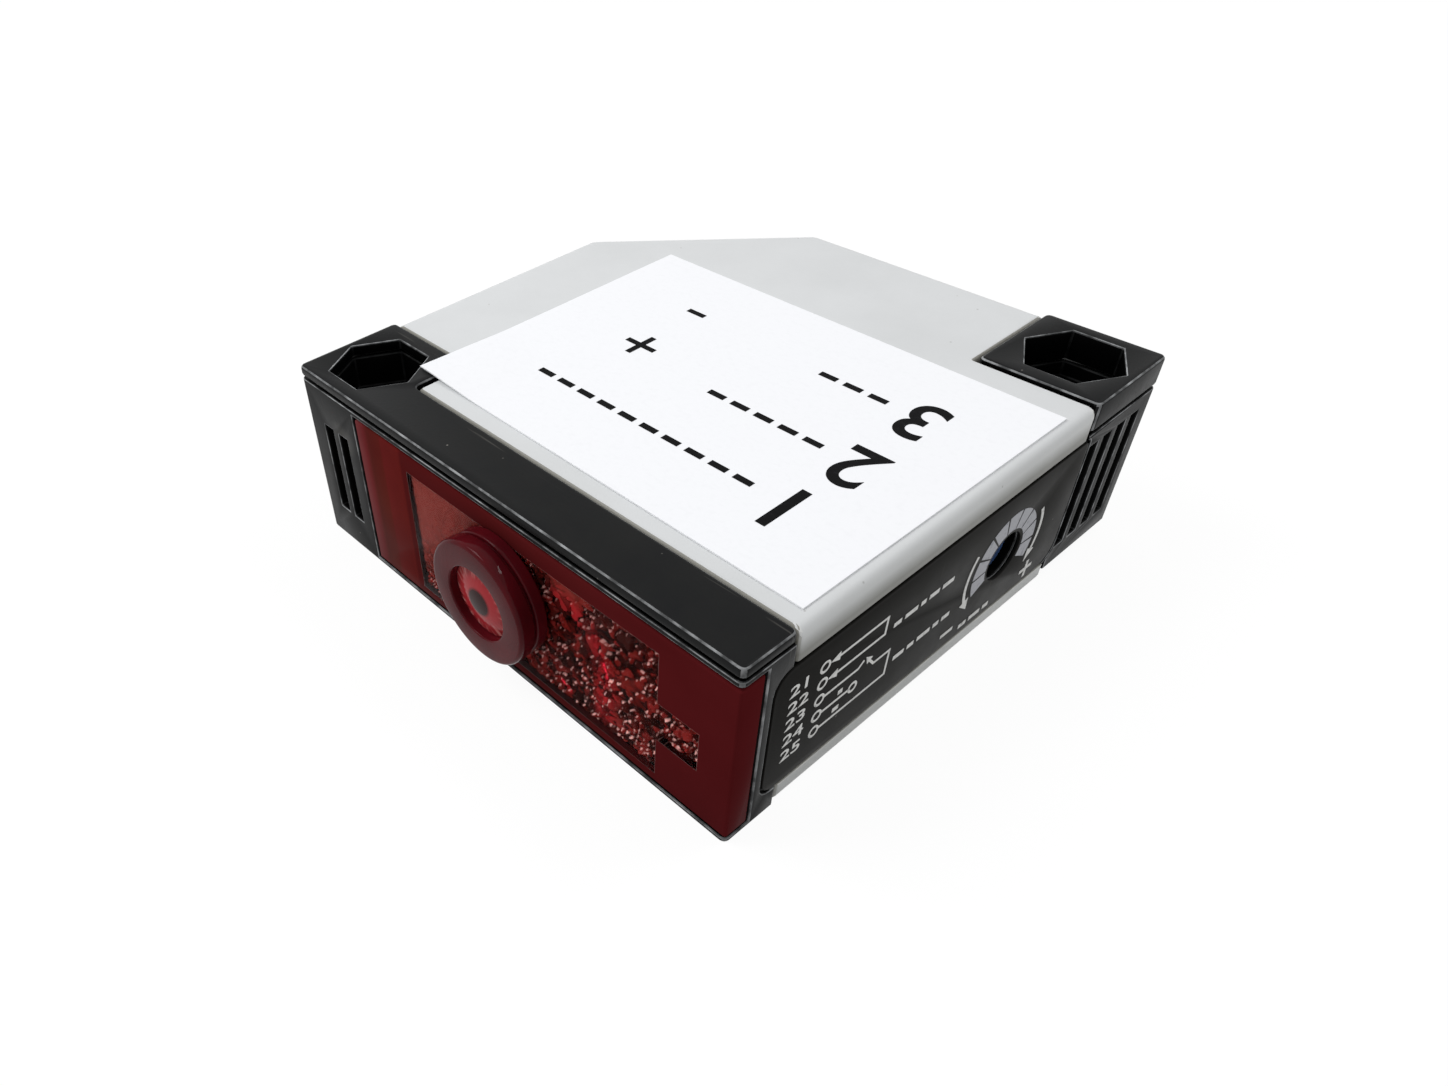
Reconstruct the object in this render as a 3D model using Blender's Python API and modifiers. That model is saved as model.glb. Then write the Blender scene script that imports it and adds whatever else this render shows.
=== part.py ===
"""Reflective optical sensor in a square plastic housing, lying on its large lower face.

The lens face looks along -Y, the nameplate side along +X, thickness is +Z, and the cable
leaves through the corner cut at (-X, +Y). The origin is the centre of the lower mounting
face. Every size is in metres and every independent size is written once below.
"""

import math

import bmesh
import bpy
from mathutils import Matrix, Vector

MM = 0.001

# Housing envelope
BODY_X = 50.0 * MM
BODY_Y = 50.0 * MM
BODY_Z = 17.4 * MM
CABLE_CORNER = 15.6 * MM
CORNER_ROUND = 0.5 * MM

# Mounting blocks in two opposite corners, bored for M4 screws with pockets for their nuts
BLOCK = 10.2 * MM
HOLE_INSET = 5.0 * MM
HOLE_DIAMETER = 4.5 * MM
NUT_ACROSS_FLATS = 7.3 * MM
NUT_POCKET_DEPTH = 4.1 * MM
PAD_THICKNESS = 2.6 * MM
FOOT_STEP_HEIGHT = 1.1 * MM
FOOT_STEP_INSET = 0.8 * MM

# Gaps
SEAM = 0.2 * MM
GLUE = 0.1 * MM
SEAT = 0.3 * MM
RUNNING_GAP = 0.2 * MM
OVERCUT = 1.0 * MM

# Light grey covers on the two large faces
STRIP = 5.0 * MM
COVER_DROP = 0.2 * MM
COVER_PLATE = 1.4 * MM
COVER_WALL = 1.2 * MM
UPPER_SKIRT = 2.9 * MM
LOWER_SKIRT = 2.0 * MM
COVER_ROUND = 0.9 * MM
COVER_END_ROUND = 0.35 * MM
RIM = 1.3 * MM
LEDGE = 1.0 * MM
LEDGE_THICKNESS = 0.8 * MM

# Black frame plate over the window and the left block
FRAME_PLATE = 1.0 * MM
PLATE_ROUND = 0.3 * MM

# Red window round the near corner
WINDOW_LEFT = 8.0 * MM
WINDOW_LOW = 0.6 * MM
WINDOW_DROP = 1.9 * MM
WINDOW_THICKNESS = 1.5 * MM
WINDOW_WRAP = 2.3 * MM
WINDOW_ROUND = 0.25 * MM
FRONT_WALL = 1.8 * MM

# Textured panel behind the window, a rectangle with a small arm
PANEL_LEFT = 15.2 * MM
PANEL_RIGHT = 6.8 * MM
PANEL_LOW = 1.6 * MM
PANEL_DROP = 3.6 * MM
PANEL_THICKNESS = 1.0 * MM
PANEL_LIP = 0.8 * MM
ARM_LENGTH = 3.8 * MM
ARM_LOW = 5.4 * MM
ARM_HEIGHT = 3.7 * MM

# Lens and its flanged collar
LENS_X = 1.8 * MM
LENS_RISE = 0.2 * MM
COLLAR_RIM = 0.8 * MM
COLLAR_STEP = 0.7 * MM
COLLAR_PROUD = 2.7 * MM
COLLAR_FLANGE = 1.4 * MM
COLLAR_GROOVE_WIDTH = 0.25 * MM
COLLAR_GROOVE_DEPTH = 0.4 * MM
COLLAR_ROUND = 0.25 * MM
PANEL_BRIDGE = 0.1 * MM
SPIGOT_WALL = 0.6 * MM
LENS_SHOULDER = 0.8 * MM
APERTURE_DEPTH = 1.2 * MM
LENS_EDGE = 1.6 * MM
LENS_CROWN = 0.8 * MM
RETAINER_LENGTH = 1.0 * MM
RETAINER_WALL = 0.8 * MM

# Optical bench
BENCH_WIDTH = 14.4 * MM
BENCH_END = 0.5 * MM
MIRROR_THICKNESS = 0.8 * MM
MIRROR_OVERLAP = 1.0 * MM
MIRROR_MARGIN = 1.3 * MM
MIRROR_TURN = math.radians(45)
EMITTER_RADIUS = 1.9 * MM
EMITTER_LENGTH = 4.6 * MM
EMITTER_FLANGE_RADIUS = 2.2 * MM
EMITTER_FLANGE = 0.8 * MM
BOARD_THIN = 1.0 * MM
RECEIVER_CLEARANCE = 0.8 * MM
RECEIVER_THICKNESS = 1.5 * MM

# Indicator lamps behind the arm of the textured panel
LAMP_WIDTH = 1.3 * MM
LAMP_HEIGHT = 2.0 * MM
LAMP_PITCH = 1.7 * MM
LAMP_LENGTH = 1.9 * MM
LAMP_ROUND = 0.15 * MM

# Cable inlet in the cut corner
BUSHING_MARGIN = 1.15 * MM
BUSHING_TAPER = 0.7 * MM
BUSHING_LIP = 0.9 * MM
BUSHING_WALL = 1.2 * MM
BUSHING_PROUD = 2.5 * MM
BUSHING_INNER_FLANGE = 1.2 * MM
CLAMP_WIDTH = 10.0 * MM
CLAMP_GRIP = 0.5
CLAMP_THICKNESS = 2.0 * MM

# Nameplate and its sensitivity dial
NAMEPLATE_START = 3.5 * MM
NAMEPLATE_LENGTH = 36.7 * MM
NAMEPLATE_THICKNESS = 0.25 * MM
NAMEPLATE_MARGIN = 0.3 * MM
NAMEPLATE_ROUNDS = (1.2 * MM, 2.0 * MM, 0.5 * MM, 1.7 * MM)
DIAL_Y = 6.0 * MM
DIAL_Z = 7.8 * MM
DIAL_HOLE_RADIUS = 2.15 * MM
ROTOR_RADIUS = 1.9 * MM
ROTOR_LENGTH = 2.6 * MM
ROTOR_SLOT_WIDTH = 0.6 * MM
ROTOR_SLOT_DEPTH = 0.8 * MM
ROTOR_SINK = 0.8 * MM
TRIMMER_WIDTH = 6.8 * MM
TRIMMER_DEPTH = 5.6 * MM
TRIMMER_RISE = 2.9 * MM

# Ventilated sides of the two blocks
SLOT_DEPTH = 2.1 * MM
LEFT_SLOT_LOW = 3.6 * MM
LEFT_SLOT_DROP = 4.9 * MM
LEFT_SLOT_WIDTH = 1.3 * MM
LEFT_SLOT_START = 2.55 * MM
LEFT_SLOT_PITCH = 2.25 * MM
LEFT_SLOTS = 2
RIGHT_SLOT_LOW = 3.1 * MM
RIGHT_SLOT_DROP = 4.2 * MM
RIGHT_SLOT_WIDTH = 1.25 * MM
RIGHT_SLOT_START = 1.8 * MM
RIGHT_SLOT_PITCH = 2.1 * MM
RIGHT_SLOTS = 4

# Paper sticker on the upper cover
STICKER_X = 40.6 * MM
STICKER_Y = 29.9 * MM
STICKER_THICKNESS = 0.15 * MM
STICKER_CENTRE = (3.7 * MM, -3.2 * MM)
STICKER_TURN = math.radians(-0.5)

# Circuit board and what it carries
BOARD_LOW = 3.2 * MM
BOARD_THICKNESS = 1.6 * MM
BOARD_SHELF = 1.2 * MM
RELAY_X = 20.0 * MM
RELAY_Y = 10.0 * MM
HEADROOM = 0.6 * MM
RELAY_ROUND = 0.5 * MM
CAPACITOR_RADIUS = 4.0 * MM
CAPACITOR_BEAD = 0.35 * MM
CAPACITOR_BEAD_RISE = 1.25 * MM
RECTIFIER_X = 5.0 * MM
RECTIFIER_Y = 6.5 * MM
RECTIFIER_HEIGHT = 2.6 * MM
CHIP_X = 8.6 * MM
CHIP_Y = 3.9 * MM
CHIP_HEIGHT = 1.5 * MM
CHIP_LIFT = 0.3 * MM
CHIP_LEGS = 7
CHIP_LEG_PITCH = 1.27 * MM
CHIP_LEG_WIDTH = 0.45 * MM
CHIP_LEG_REACH = 1.0 * MM
CHIP_LEG_THICKNESS = 0.25 * MM
TERMINALS = 5
TERMINAL_PITCH = 2.5 * MM
TERMINAL_SIZE = 0.7 * MM
TERMINAL_HEIGHT = 4.5 * MM
TERMINAL_BASE = 1.4 * MM

# Facets and edges
ROUND_SEGMENTS = 3
CORNER_STEPS = 4
CIRCLE_STEPS = 48
SMALL_CIRCLE_STEPS = 32
DOME_STEPS = 8
HEX_SIDES = 6
SHARP_EDGE = math.radians(30)
SMOOTH_EDGE = math.radians(35)
FLAT_EDGE = math.radians(0.1)
ROUND_SHARE = 0.45
WELD = 0.001 * MM
SAME_PLACE = 0.01 * MM

# Planes and points worked out from the sizes above
X0 = -BODY_X / 2
X1 = BODY_X / 2
Y0 = -BODY_Y / 2
Y1 = BODY_Y / 2
COVER_TOP = BODY_Z - COVER_DROP
COVER_UNDER = COVER_TOP - COVER_PLATE
LEDGE_TOP = COVER_UNDER - SEAM
LEDGE_UNDER = LEDGE_TOP - LEDGE_THICKNESS
FLOOR_LEDGE_LOW = COVER_PLATE + SEAM
FLOOR_LEDGE_TOP = FLOOR_LEDGE_LOW + LEDGE_THICKNESS
CASE_WALL = COVER_WALL + SEAM + RIM
CASE_SIDE_LOW = LOWER_SKIRT
CASE_SIDE_HIGH = COVER_TOP - UPPER_SKIRT
WINDOW_BACK = Y0 + WINDOW_THICKNESS
FRONT_WALL_FACE = WINDOW_BACK + SEAM
FRONT_WALL_BACK = FRONT_WALL_FACE + FRONT_WALL
PANEL_FACE = FRONT_WALL_FACE + GLUE
PANEL_BACK = PANEL_FACE + PANEL_THICKNESS
WINDOW_TOP = BODY_Z - WINDOW_DROP
PANEL_TOP = BODY_Z - PANEL_DROP
LENS_Z = BODY_Z / 2 + LENS_RISE
COLLAR_FACE = Y0 - COLLAR_PROUD
COLLAR_BACK = PANEL_BACK
SPIGOT_RADIUS = PANEL_TOP - LENS_Z - RUNNING_GAP - PANEL_BRIDGE
COLLAR_RADIUS = SPIGOT_RADIUS + COLLAR_RIM
COLLAR_BASE_RADIUS = SPIGOT_RADIUS + COLLAR_STEP
COLLAR_BORE_RADIUS = SPIGOT_RADIUS - SPIGOT_WALL
APERTURE_RADIUS = COLLAR_BORE_RADIUS - LENS_SHOULDER
LENS_RADIUS = COLLAR_BORE_RADIUS - RUNNING_GAP
LENS_APEX = COLLAR_FACE + APERTURE_DEPTH + SEAM - LENS_CROWN
LENS_FLAT = COLLAR_FACE + APERTURE_DEPTH + SEAM + LENS_EDGE
BENCH_BORE_RADIUS = LENS_RADIUS - SEAM
MIRROR_LENGTH = 2 * (BENCH_BORE_RADIUS + MIRROR_OVERLAP)
MIRROR_REACH = (MIRROR_LENGTH + MIRROR_THICKNESS) / 2 * math.cos(MIRROR_TURN)
BENCH_FRONT = FRONT_WALL_BACK + SEAT
BENCH_DEPTH = 2 * (MIRROR_REACH + BENCH_END)
BENCH_BACK = BENCH_FRONT + BENCH_DEPTH
MIRROR_Y = BENCH_FRONT + BENCH_DEPTH / 2
INNER_LOW = FLOOR_LEDGE_TOP + SEAT
INNER_HIGH = LEDGE_UNDER - SEAT
MIRROR_HALF = LENS_Z - INNER_LOW - MIRROR_MARGIN
RECEIVER_HALF = (BENCH_BORE_RADIUS - RECEIVER_CLEARANCE) / math.sqrt(2.0)
RECEIVER_BOARD_Y = BENCH_BACK + SEAT
BOARD_TOP = BOARD_LOW + BOARD_THICKNESS
PART_LOW = BOARD_TOP + SEAM
PART_HIGH = LEDGE_TOP - HEADROOM
BOARD_FRONT = RECEIVER_BOARD_Y + BOARD_THIN + SEAT
PART_ROW = RELAY_X + LEDGE + 2 * CAPACITOR_RADIUS + LEDGE + RECTIFIER_X
NAMEPLATE_Y0 = Y0 + NAMEPLATE_START
NAMEPLATE_Y1 = NAMEPLATE_Y0 + NAMEPLATE_LENGTH
NAMEPLATE_POCKET = NAMEPLATE_THICKNESS + GLUE
LEFT_HOLE = (X0 + HOLE_INSET, Y0 + HOLE_INSET)
RIGHT_HOLE = (X1 - HOLE_INSET, Y1 - HOLE_INSET)
CABLE_POINT = Vector((X0 + CABLE_CORNER / 2, Y1 - CABLE_CORNER / 2, (CASE_SIDE_LOW + CASE_SIDE_HIGH) / 2))
CABLE_OUT = Vector((-1.0, 1.0, 0.0)).normalized()
BUSHING_RADIUS = (CASE_SIDE_HIGH - CASE_SIDE_LOW) / 2 - BUSHING_MARGIN
BUSHING_NOSE_RADIUS = BUSHING_RADIUS - BUSHING_TAPER
BUSHING_NECK_RADIUS = BUSHING_RADIUS - BUSHING_LIP
BUSHING_BORE_RADIUS = BUSHING_NECK_RADIUS - BUSHING_WALL
BUSHING_INNER_END = CASE_WALL + SEAM + BUSHING_INNER_FLANGE
TRIMMER_FACE = X1 - CASE_WALL - SEAT
ROTOR_BACK = TRIMMER_FACE - ROTOR_SINK + RUNNING_GAP

for item in list(bpy.data.objects):
    bpy.data.objects.remove(item, do_unlink=True)

SENSOR = bpy.data.collections.new("reflective_optical_sensor")
CUTTERS = bpy.data.collections.new("sensor_cutters")
bpy.context.scene.collection.children.link(SENSOR)
bpy.context.scene.collection.children.link(CUTTERS)
FRAME = bpy.data.objects.new("sensor_frame", None)
SENSOR.objects.link(FRAME)


def material(name, colour, roughness, metallic=0.0, transmission=0.0):
    """A Principled material with one base colour."""
    made = bpy.data.materials.new(name)
    made.use_nodes = True
    shader = made.node_tree.nodes["Principled BSDF"]
    shader.inputs["Base Color"].default_value = (*colour, 1.0)
    shader.inputs["Roughness"].default_value = roughness
    shader.inputs["Metallic"].default_value = metallic
    shader.inputs["Transmission Weight"].default_value = transmission
    return made


BLACK_ABS = material("black_abs", (0.022, 0.023, 0.024), 0.38)
GREY_ABS = material("light_grey_abs", (0.68, 0.70, 0.71), 0.45)
RED_ACRYLIC = material("red_acrylic", (0.30, 0.008, 0.012), 0.06, 0.0, 0.6)
DEEP_RED_ACRYLIC = material("deep_red_acrylic", (0.16, 0.003, 0.008), 0.08, 0.0, 0.4)
LENS_RED = material("lens_red", (0.60, 0.02, 0.02), 0.05, 0.0, 0.5)
PEBBLED_RED = material("pebbled_red", (0.20, 0.02, 0.015), 0.25)
PLATE_BLACK = material("anodised_black", (0.020, 0.020, 0.019), 0.42)
PAPER = material("white_paper", (0.93, 0.94, 0.95), 0.75)
RUBBER = material("black_rubber", (0.025, 0.025, 0.025), 0.7)
FIBREGLASS = material("green_fibreglass", (0.02, 0.16, 0.06), 0.4)
RELAY_BLUE = material("relay_blue", (0.03, 0.10, 0.32), 0.35)
SLEEVE = material("capacitor_sleeve", (0.03, 0.03, 0.06), 0.3)
EPOXY = material("black_epoxy", (0.015, 0.015, 0.016), 0.5)
TINNED = material("tinned_brass", (0.72, 0.71, 0.68), 0.3, 1.0)
CLEAR = material("clear_epoxy", (0.8, 0.8, 0.8), 0.05, 0.0, 0.9)
GLASS = material("coated_glass", (0.75, 0.78, 0.80), 0.03, 0.2, 0.6)
GREEN_LAMP = material("green_lamp", (0.05, 0.45, 0.10), 0.1, 0.0, 0.5)
RED_LAMP = material("red_lamp", (0.6, 0.03, 0.02), 0.1, 0.0, 0.5)
CREAM = material("cream_nylon", (0.62, 0.58, 0.48), 0.5)
BLUE_DIAL = material("blue_nylon", (0.05, 0.08, 0.16), 0.4)


def link(thing, look=None):
    """Puts a piece in the sensor's collection, under its frame."""
    SENSOR.objects.link(thing)
    thing.parent = FRAME
    if look is not None:
        thing.data.materials.clear()
        thing.data.materials.append(look)
    return thing


def tidy_mesh(mesh):
    """Welds loose caps, joins coplanar facets and turns every face outwards."""
    work = bmesh.new()
    work.from_mesh(mesh)
    bmesh.ops.remove_doubles(work, verts=work.verts, dist=WELD)
    bmesh.ops.dissolve_limit(work, angle_limit=FLAT_EDGE, verts=work.verts, edges=work.edges)
    bmesh.ops.recalc_face_normals(work, faces=work.faces)
    work.to_mesh(mesh)
    work.free()


def extruded(name, outline, low, high, turn, look=None):
    """A flat outline given thickness as a filled 2D curve, then made a mesh."""
    curve = bpy.data.curves.new(name, "CURVE")
    curve.dimensions = "2D"
    curve.fill_mode = "BOTH"
    curve.extrude = (high - low) / 2
    spline = curve.splines.new("POLY")
    spline.points.add(len(outline) - 1)
    for point, (x, y) in zip(spline.points, outline):
        point.co = (x, y, 0.0, 1.0)
    spline.use_cyclic_u = True
    drawn = bpy.data.objects.new(name + "_outline", curve)
    drawn.matrix_world = turn @ Matrix.Translation((0.0, 0.0, (low + high) / 2))
    SENSOR.objects.link(drawn)
    bpy.context.view_layer.update()
    graph = bpy.context.evaluated_depsgraph_get()
    mesh = bpy.data.meshes.new_from_object(drawn.evaluated_get(graph))
    tidy_mesh(mesh)
    solid = bpy.data.objects.new(name, mesh)
    solid.matrix_world = drawn.matrix_world
    bpy.data.objects.remove(drawn, do_unlink=True)
    return link(solid, look)


def upright(name, outline, low, high, look=None):
    """An outline in X and Y, thick along Z from low to high."""
    return extruded(name, outline, low, high, Matrix.Identity(4), look)


def fronted(name, outline, low, high, look=None):
    """An outline in X and Z, thick along Y from low to high."""
    return extruded(name, outline, -high, -low, Matrix.Rotation(math.pi / 2, 4, "X"), look)


def sided(name, outline, low, high, look=None):
    """An outline in Y and Z, thick along X from low to high."""
    turn = Matrix(((0, 0, 1, 0), (1, 0, 0, 0), (0, 1, 0, 0), (0, 0, 0, 1)))
    return extruded(name, outline, low, high, turn, look)


def box(name, low, high, look=None):
    """A block between two corners, its origin at its middle."""
    size = [b - a for a, b in zip(low, high)]
    mesh = bpy.data.meshes.new(name)
    work = bmesh.new()
    bmesh.ops.create_cube(work, size=1.0, matrix=Matrix.Diagonal((*size, 1.0)))
    work.to_mesh(mesh)
    work.free()
    solid = bpy.data.objects.new(name, mesh)
    solid.location = [(a + b) / 2 for a, b in zip(low, high)]
    return link(solid, look)


def towards(axis):
    """The turn that takes local +Z to an axis."""
    return Vector((0.0, 0.0, 1.0)).rotation_difference(Vector(axis)).to_euler()


def rod(name, start, axis, radius, length, look=None, steps=CIRCLE_STEPS):
    """A cylinder from a start point along an axis."""
    mesh = bpy.data.meshes.new(name)
    work = bmesh.new()
    lift = Matrix.Translation((0.0, 0.0, length / 2))
    bmesh.ops.create_cone(work, cap_ends=True, segments=steps, radius1=radius, radius2=radius,
                          depth=length, matrix=lift)
    work.to_mesh(mesh)
    work.free()
    solid = bpy.data.objects.new(name, mesh)
    solid.location = start
    solid.rotation_euler = towards(axis)
    return link(solid, look)


def turned(name, start, axis, profile, look=None, closed=False, steps=CIRCLE_STEPS):
    """A profile of (radius, height) points turned about an axis with a Screw modifier."""
    mesh = bpy.data.meshes.new(name)
    work = bmesh.new()
    points = [work.verts.new((radius, 0.0, height)) for radius, height in profile]
    for first, second in zip(points, points[1:]):
        work.edges.new((first, second))
    if closed:
        work.edges.new((points[-1], points[0]))
    work.to_mesh(mesh)
    work.free()
    solid = bpy.data.objects.new(name, mesh)
    solid.location = start
    solid.rotation_euler = towards(axis)
    screw = solid.modifiers.new("turn", "SCREW")
    screw.steps = steps
    screw.render_steps = steps
    screw.use_merge_vertices = True
    screw.merge_threshold = WELD
    return link(solid, look)


def boolean(target, tool, operation):
    """Cuts or joins with an EXACT Boolean, the tool going to the cutters' collection."""
    SENSOR.objects.unlink(tool)
    CUTTERS.objects.link(tool)
    tool.hide_render = True
    tool.display_type = "WIRE"
    change = target.modifiers.new(tool.name, "BOOLEAN")
    change.operation = operation
    change.solver = "EXACT"
    change.object = tool
    return target


def cut(target, tool):
    """Takes a tool's shape away from a piece."""
    return boolean(target, tool, "DIFFERENCE")


def join(target, tool):
    """Adds a tool's shape to a piece."""
    return boolean(target, tool, "UNION")


def soften(target, width, segments=ROUND_SEGMENTS):
    """Rounds every sharp edge of a piece."""
    bevel = target.modifiers.new("round", "BEVEL")
    bevel.width = width
    bevel.segments = segments
    bevel.limit_method = "ANGLE"
    bevel.angle_limit = SHARP_EDGE
    return target


def smooth(target):
    """Smooth shading on a round piece, with its sharp rims kept."""
    target.data.shade_smooth()
    target.data.set_sharp_from_angle(angle=SMOOTH_EDGE)
    return target


def arc(centre, radius, start, end, steps):
    """Points along an arc, angles in degrees, both ends included."""
    turns = [math.radians(start + (end - start) * k / steps) for k in range(steps + 1)]
    return [(centre[0] + radius * math.cos(a), centre[1] + radius * math.sin(a)) for a in turns]


def rounded(points, radii, steps=CORNER_STEPS):
    """Replaces the corners of an outline by arcs, one radius for all or one for each.

    An arc takes at most ROUND_SHARE of the shorter edge beside it.
    """
    if not isinstance(radii, (list, tuple)):
        radii = [radii] * len(points)
    result = []
    for k, (corner, radius) in enumerate(zip(points, radii)):
        here = Vector(corner)
        to_last = Vector(points[k - 1]) - here
        to_next = Vector(points[(k + 1) % len(points)]) - here
        half = to_last.angle(to_next) / 2
        reach = min(radius / math.tan(half), ROUND_SHARE * min(to_last.length, to_next.length))
        if radius <= 0.0:
            result.append(corner)
            continue
        radius = reach * math.tan(half)
        bisector = (to_last.normalized() + to_next.normalized()).normalized()
        middle = here + bisector * (radius / math.sin(half))
        first = here + to_last.normalized() * reach - middle
        sweep = first.angle_signed(here + to_next.normalized() * reach - middle)
        for step in range(steps + 1):
            angle = -sweep * step / steps
            spoke = Matrix.Rotation(angle, 2) @ first
            result.append((middle.x + spoke.x, middle.y + spoke.y))
    return result


def rectangle(x_low, y_low, x_high, y_high):
    """The four corners of a rectangle, anticlockwise."""
    return [(x_low, y_low), (x_high, y_low), (x_high, y_high), (x_low, y_high)]


def cable_edge(inset):
    """Where the cut corner's edge, moved inwards, meets the +Y side and the -X side."""
    slide = inset * (math.sqrt(2.0) - 1.0)
    return (X0 + CABLE_CORNER + slide, Y1 - inset), (X0 + inset, Y1 - CABLE_CORNER - slide)


def body_outline(inset):
    """The housing's outline from above, moved inwards by inset."""
    corners = [(X0 + inset, Y0 + inset), (X1 - inset, Y0 + inset), (X1 - inset, Y1 - inset)]
    points = [*corners, *cable_edge(inset)]
    return rounded(points, max(CORNER_ROUND - inset, 0.0))


def cover_outline(inset, gap):
    """The covers' outline: inset from the outer sides, a gap from the blocks and the strip."""
    return [
        (X0 + inset, Y0 + BLOCK + gap), (X0 + BLOCK + gap, Y0 + BLOCK + gap),
        (X0 + BLOCK + gap, Y0 + STRIP + gap), (X1 - inset, Y0 + STRIP + gap),
        (X1 - inset, Y1 - BLOCK - gap), (X1 - BLOCK - gap, Y1 - BLOCK - gap),
        (X1 - BLOCK - gap, Y1 - inset), *cable_edge(inset)]


def frame_plate_outline(outside, gap):
    """The black plate's L from above; outside moves its outer sides, gap its inner ones."""
    return [
        (X0 - outside, Y0 - outside), (X1 + outside, Y0 - outside), (X1 + outside, Y0 + STRIP + gap),
        (X0 + BLOCK + gap, Y0 + STRIP + gap), (X0 + BLOCK + gap, Y0 + BLOCK + gap),
        (X0 - outside, Y0 + BLOCK + gap)]


def window_outline(grow):
    """The window's L from above, grown on every side."""
    left = X0 + WINDOW_LEFT - grow
    inner_x = X1 - WINDOW_THICKNESS - grow
    back_y = Y0 + WINDOW_THICKNESS + grow
    end_y = Y0 + WINDOW_WRAP + grow
    outer_x = X1 + (OVERCUT if grow else 0.0)
    outer_y = Y0 - (OVERCUT if grow else 0.0)
    return [
        (left, outer_y), (outer_x, outer_y), (outer_x, end_y),
        (inner_x, end_y), (inner_x, back_y), (left, back_y)]


def panel_outline(grow):
    """The textured panel's outline from the front, grown on every side."""
    left = X0 + PANEL_LEFT - grow
    right = X1 - PANEL_RIGHT + grow
    arm_end = right + ARM_LENGTH
    low, high = PANEL_LOW - grow, PANEL_TOP + grow
    arm_low, arm_high = ARM_LOW - grow, ARM_LOW + ARM_HEIGHT + grow
    return [(left, low), (right, low), (right, arm_low), (arm_end, arm_low), (arm_end, arm_high),
            (right, arm_high), (right, high), (left, high)]


def nameplate_outline(grow):
    """The nameplate's outline from the side, between the covers' skirts."""
    low = CASE_SIDE_LOW + NAMEPLATE_MARGIN - grow
    high = CASE_SIDE_HIGH - NAMEPLATE_MARGIN + grow
    corners = rectangle(NAMEPLATE_Y0 - grow, low, NAMEPLATE_Y1 + grow, high)
    return rounded(corners, NAMEPLATE_ROUNDS)


def nut_outline(centre):
    """A hexagon for an M4 nut, two corners along X."""
    radius = NUT_ACROSS_FLATS / math.sqrt(3.0)
    return arc(centre, radius, 0.0, 360.0 - 360.0 / HEX_SIDES, HEX_SIDES - 1)


def weigh_edges(target, rule):
    """Marks how far each edge is rounded, from the rule's answer for its two ends."""
    work = bmesh.new()
    work.from_mesh(target.data)
    layer = work.edges.layers.float.new("bevel_weight_edge")
    place = target.matrix_world
    for edge in work.edges:
        edge[layer] = rule(*[place @ vert.co for vert in edge.verts])
    work.to_mesh(target.data)
    work.free()


def on_outer_side(point):
    """Whether a point lies on one of the housing's outer sides."""
    cut_line = (point.y - Y1 + CABLE_CORNER) - (point.x - X0)
    reach = min(point.x - X0, X1 - point.x, Y1 - point.y, -cut_line / math.sqrt(2.0))
    return abs(reach) < SAME_PLACE


def cover_blank(name, low, high, round_z, look):
    """The covers' full shape before hollowing, its outer rim rounded most at height round_z."""
    blank = upright(name, cover_outline(0.0, SEAM), low, high, look)
    end_weight = COVER_END_ROUND / COVER_ROUND

    def rule(a, b):
        level = abs(a.z - round_z) < SAME_PLACE and abs(b.z - round_z) < SAME_PLACE
        outside = on_outer_side(a) and on_outer_side(b)
        if level:
            middle = (a + b) / 2
            return 1.0 if outside and on_outer_side(middle) else end_weight
        standing = abs(a.z - b.z) > SAME_PLACE
        return end_weight if standing and outside else 0.0

    bpy.context.view_layer.update()
    weigh_edges(blank, rule)
    bevel = blank.modifiers.new("round", "BEVEL")
    bevel.width = COVER_ROUND
    bevel.segments = ROUND_SEGMENTS
    bevel.limit_method = "WEIGHT"
    return blank


def upper_cover():
    """Light grey cover of the upper face, its skirt reaching down the outer sides."""
    cover = cover_blank("upper_cover", CASE_SIDE_HIGH, COVER_TOP, COVER_TOP, GREY_ABS)
    hollow = upright("upper_cover_hollow", body_outline(COVER_WALL), CASE_SIDE_HIGH - OVERCUT, COVER_UNDER)
    return cut(cover, hollow)


def lower_cover():
    """Light grey cover of the lower face, its skirt reaching up the outer sides."""
    cover = cover_blank("lower_cover", 0.0, CASE_SIDE_LOW, 0.0, GREY_ABS)
    hollow = upright("lower_cover_hollow", body_outline(COVER_WALL), COVER_PLATE, CASE_SIDE_LOW + OVERCUT)
    return cut(cover, hollow)


def cut_cover_seats(case):
    """Room for both covers, whose skirts hang outside the case's rim."""
    seat = cover_outline(-OVERCUT, 0.0)
    upper = upright("upper_cover_seat", seat, CASE_SIDE_HIGH - SEAM, BODY_Z + OVERCUT)
    rim = upright("upper_rim", body_outline(COVER_WALL + SEAM), CASE_SIDE_HIGH - OVERCUT, LEDGE_TOP)
    cut(case, cut(upper, rim))
    lower = upright("lower_cover_seat", seat, -OVERCUT, CASE_SIDE_LOW + SEAM)
    rim = upright("lower_rim", body_outline(COVER_WALL + SEAM), FLOOR_LEDGE_LOW, CASE_SIDE_LOW + OVERCUT)
    cut(case, cut(lower, rim))


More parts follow.
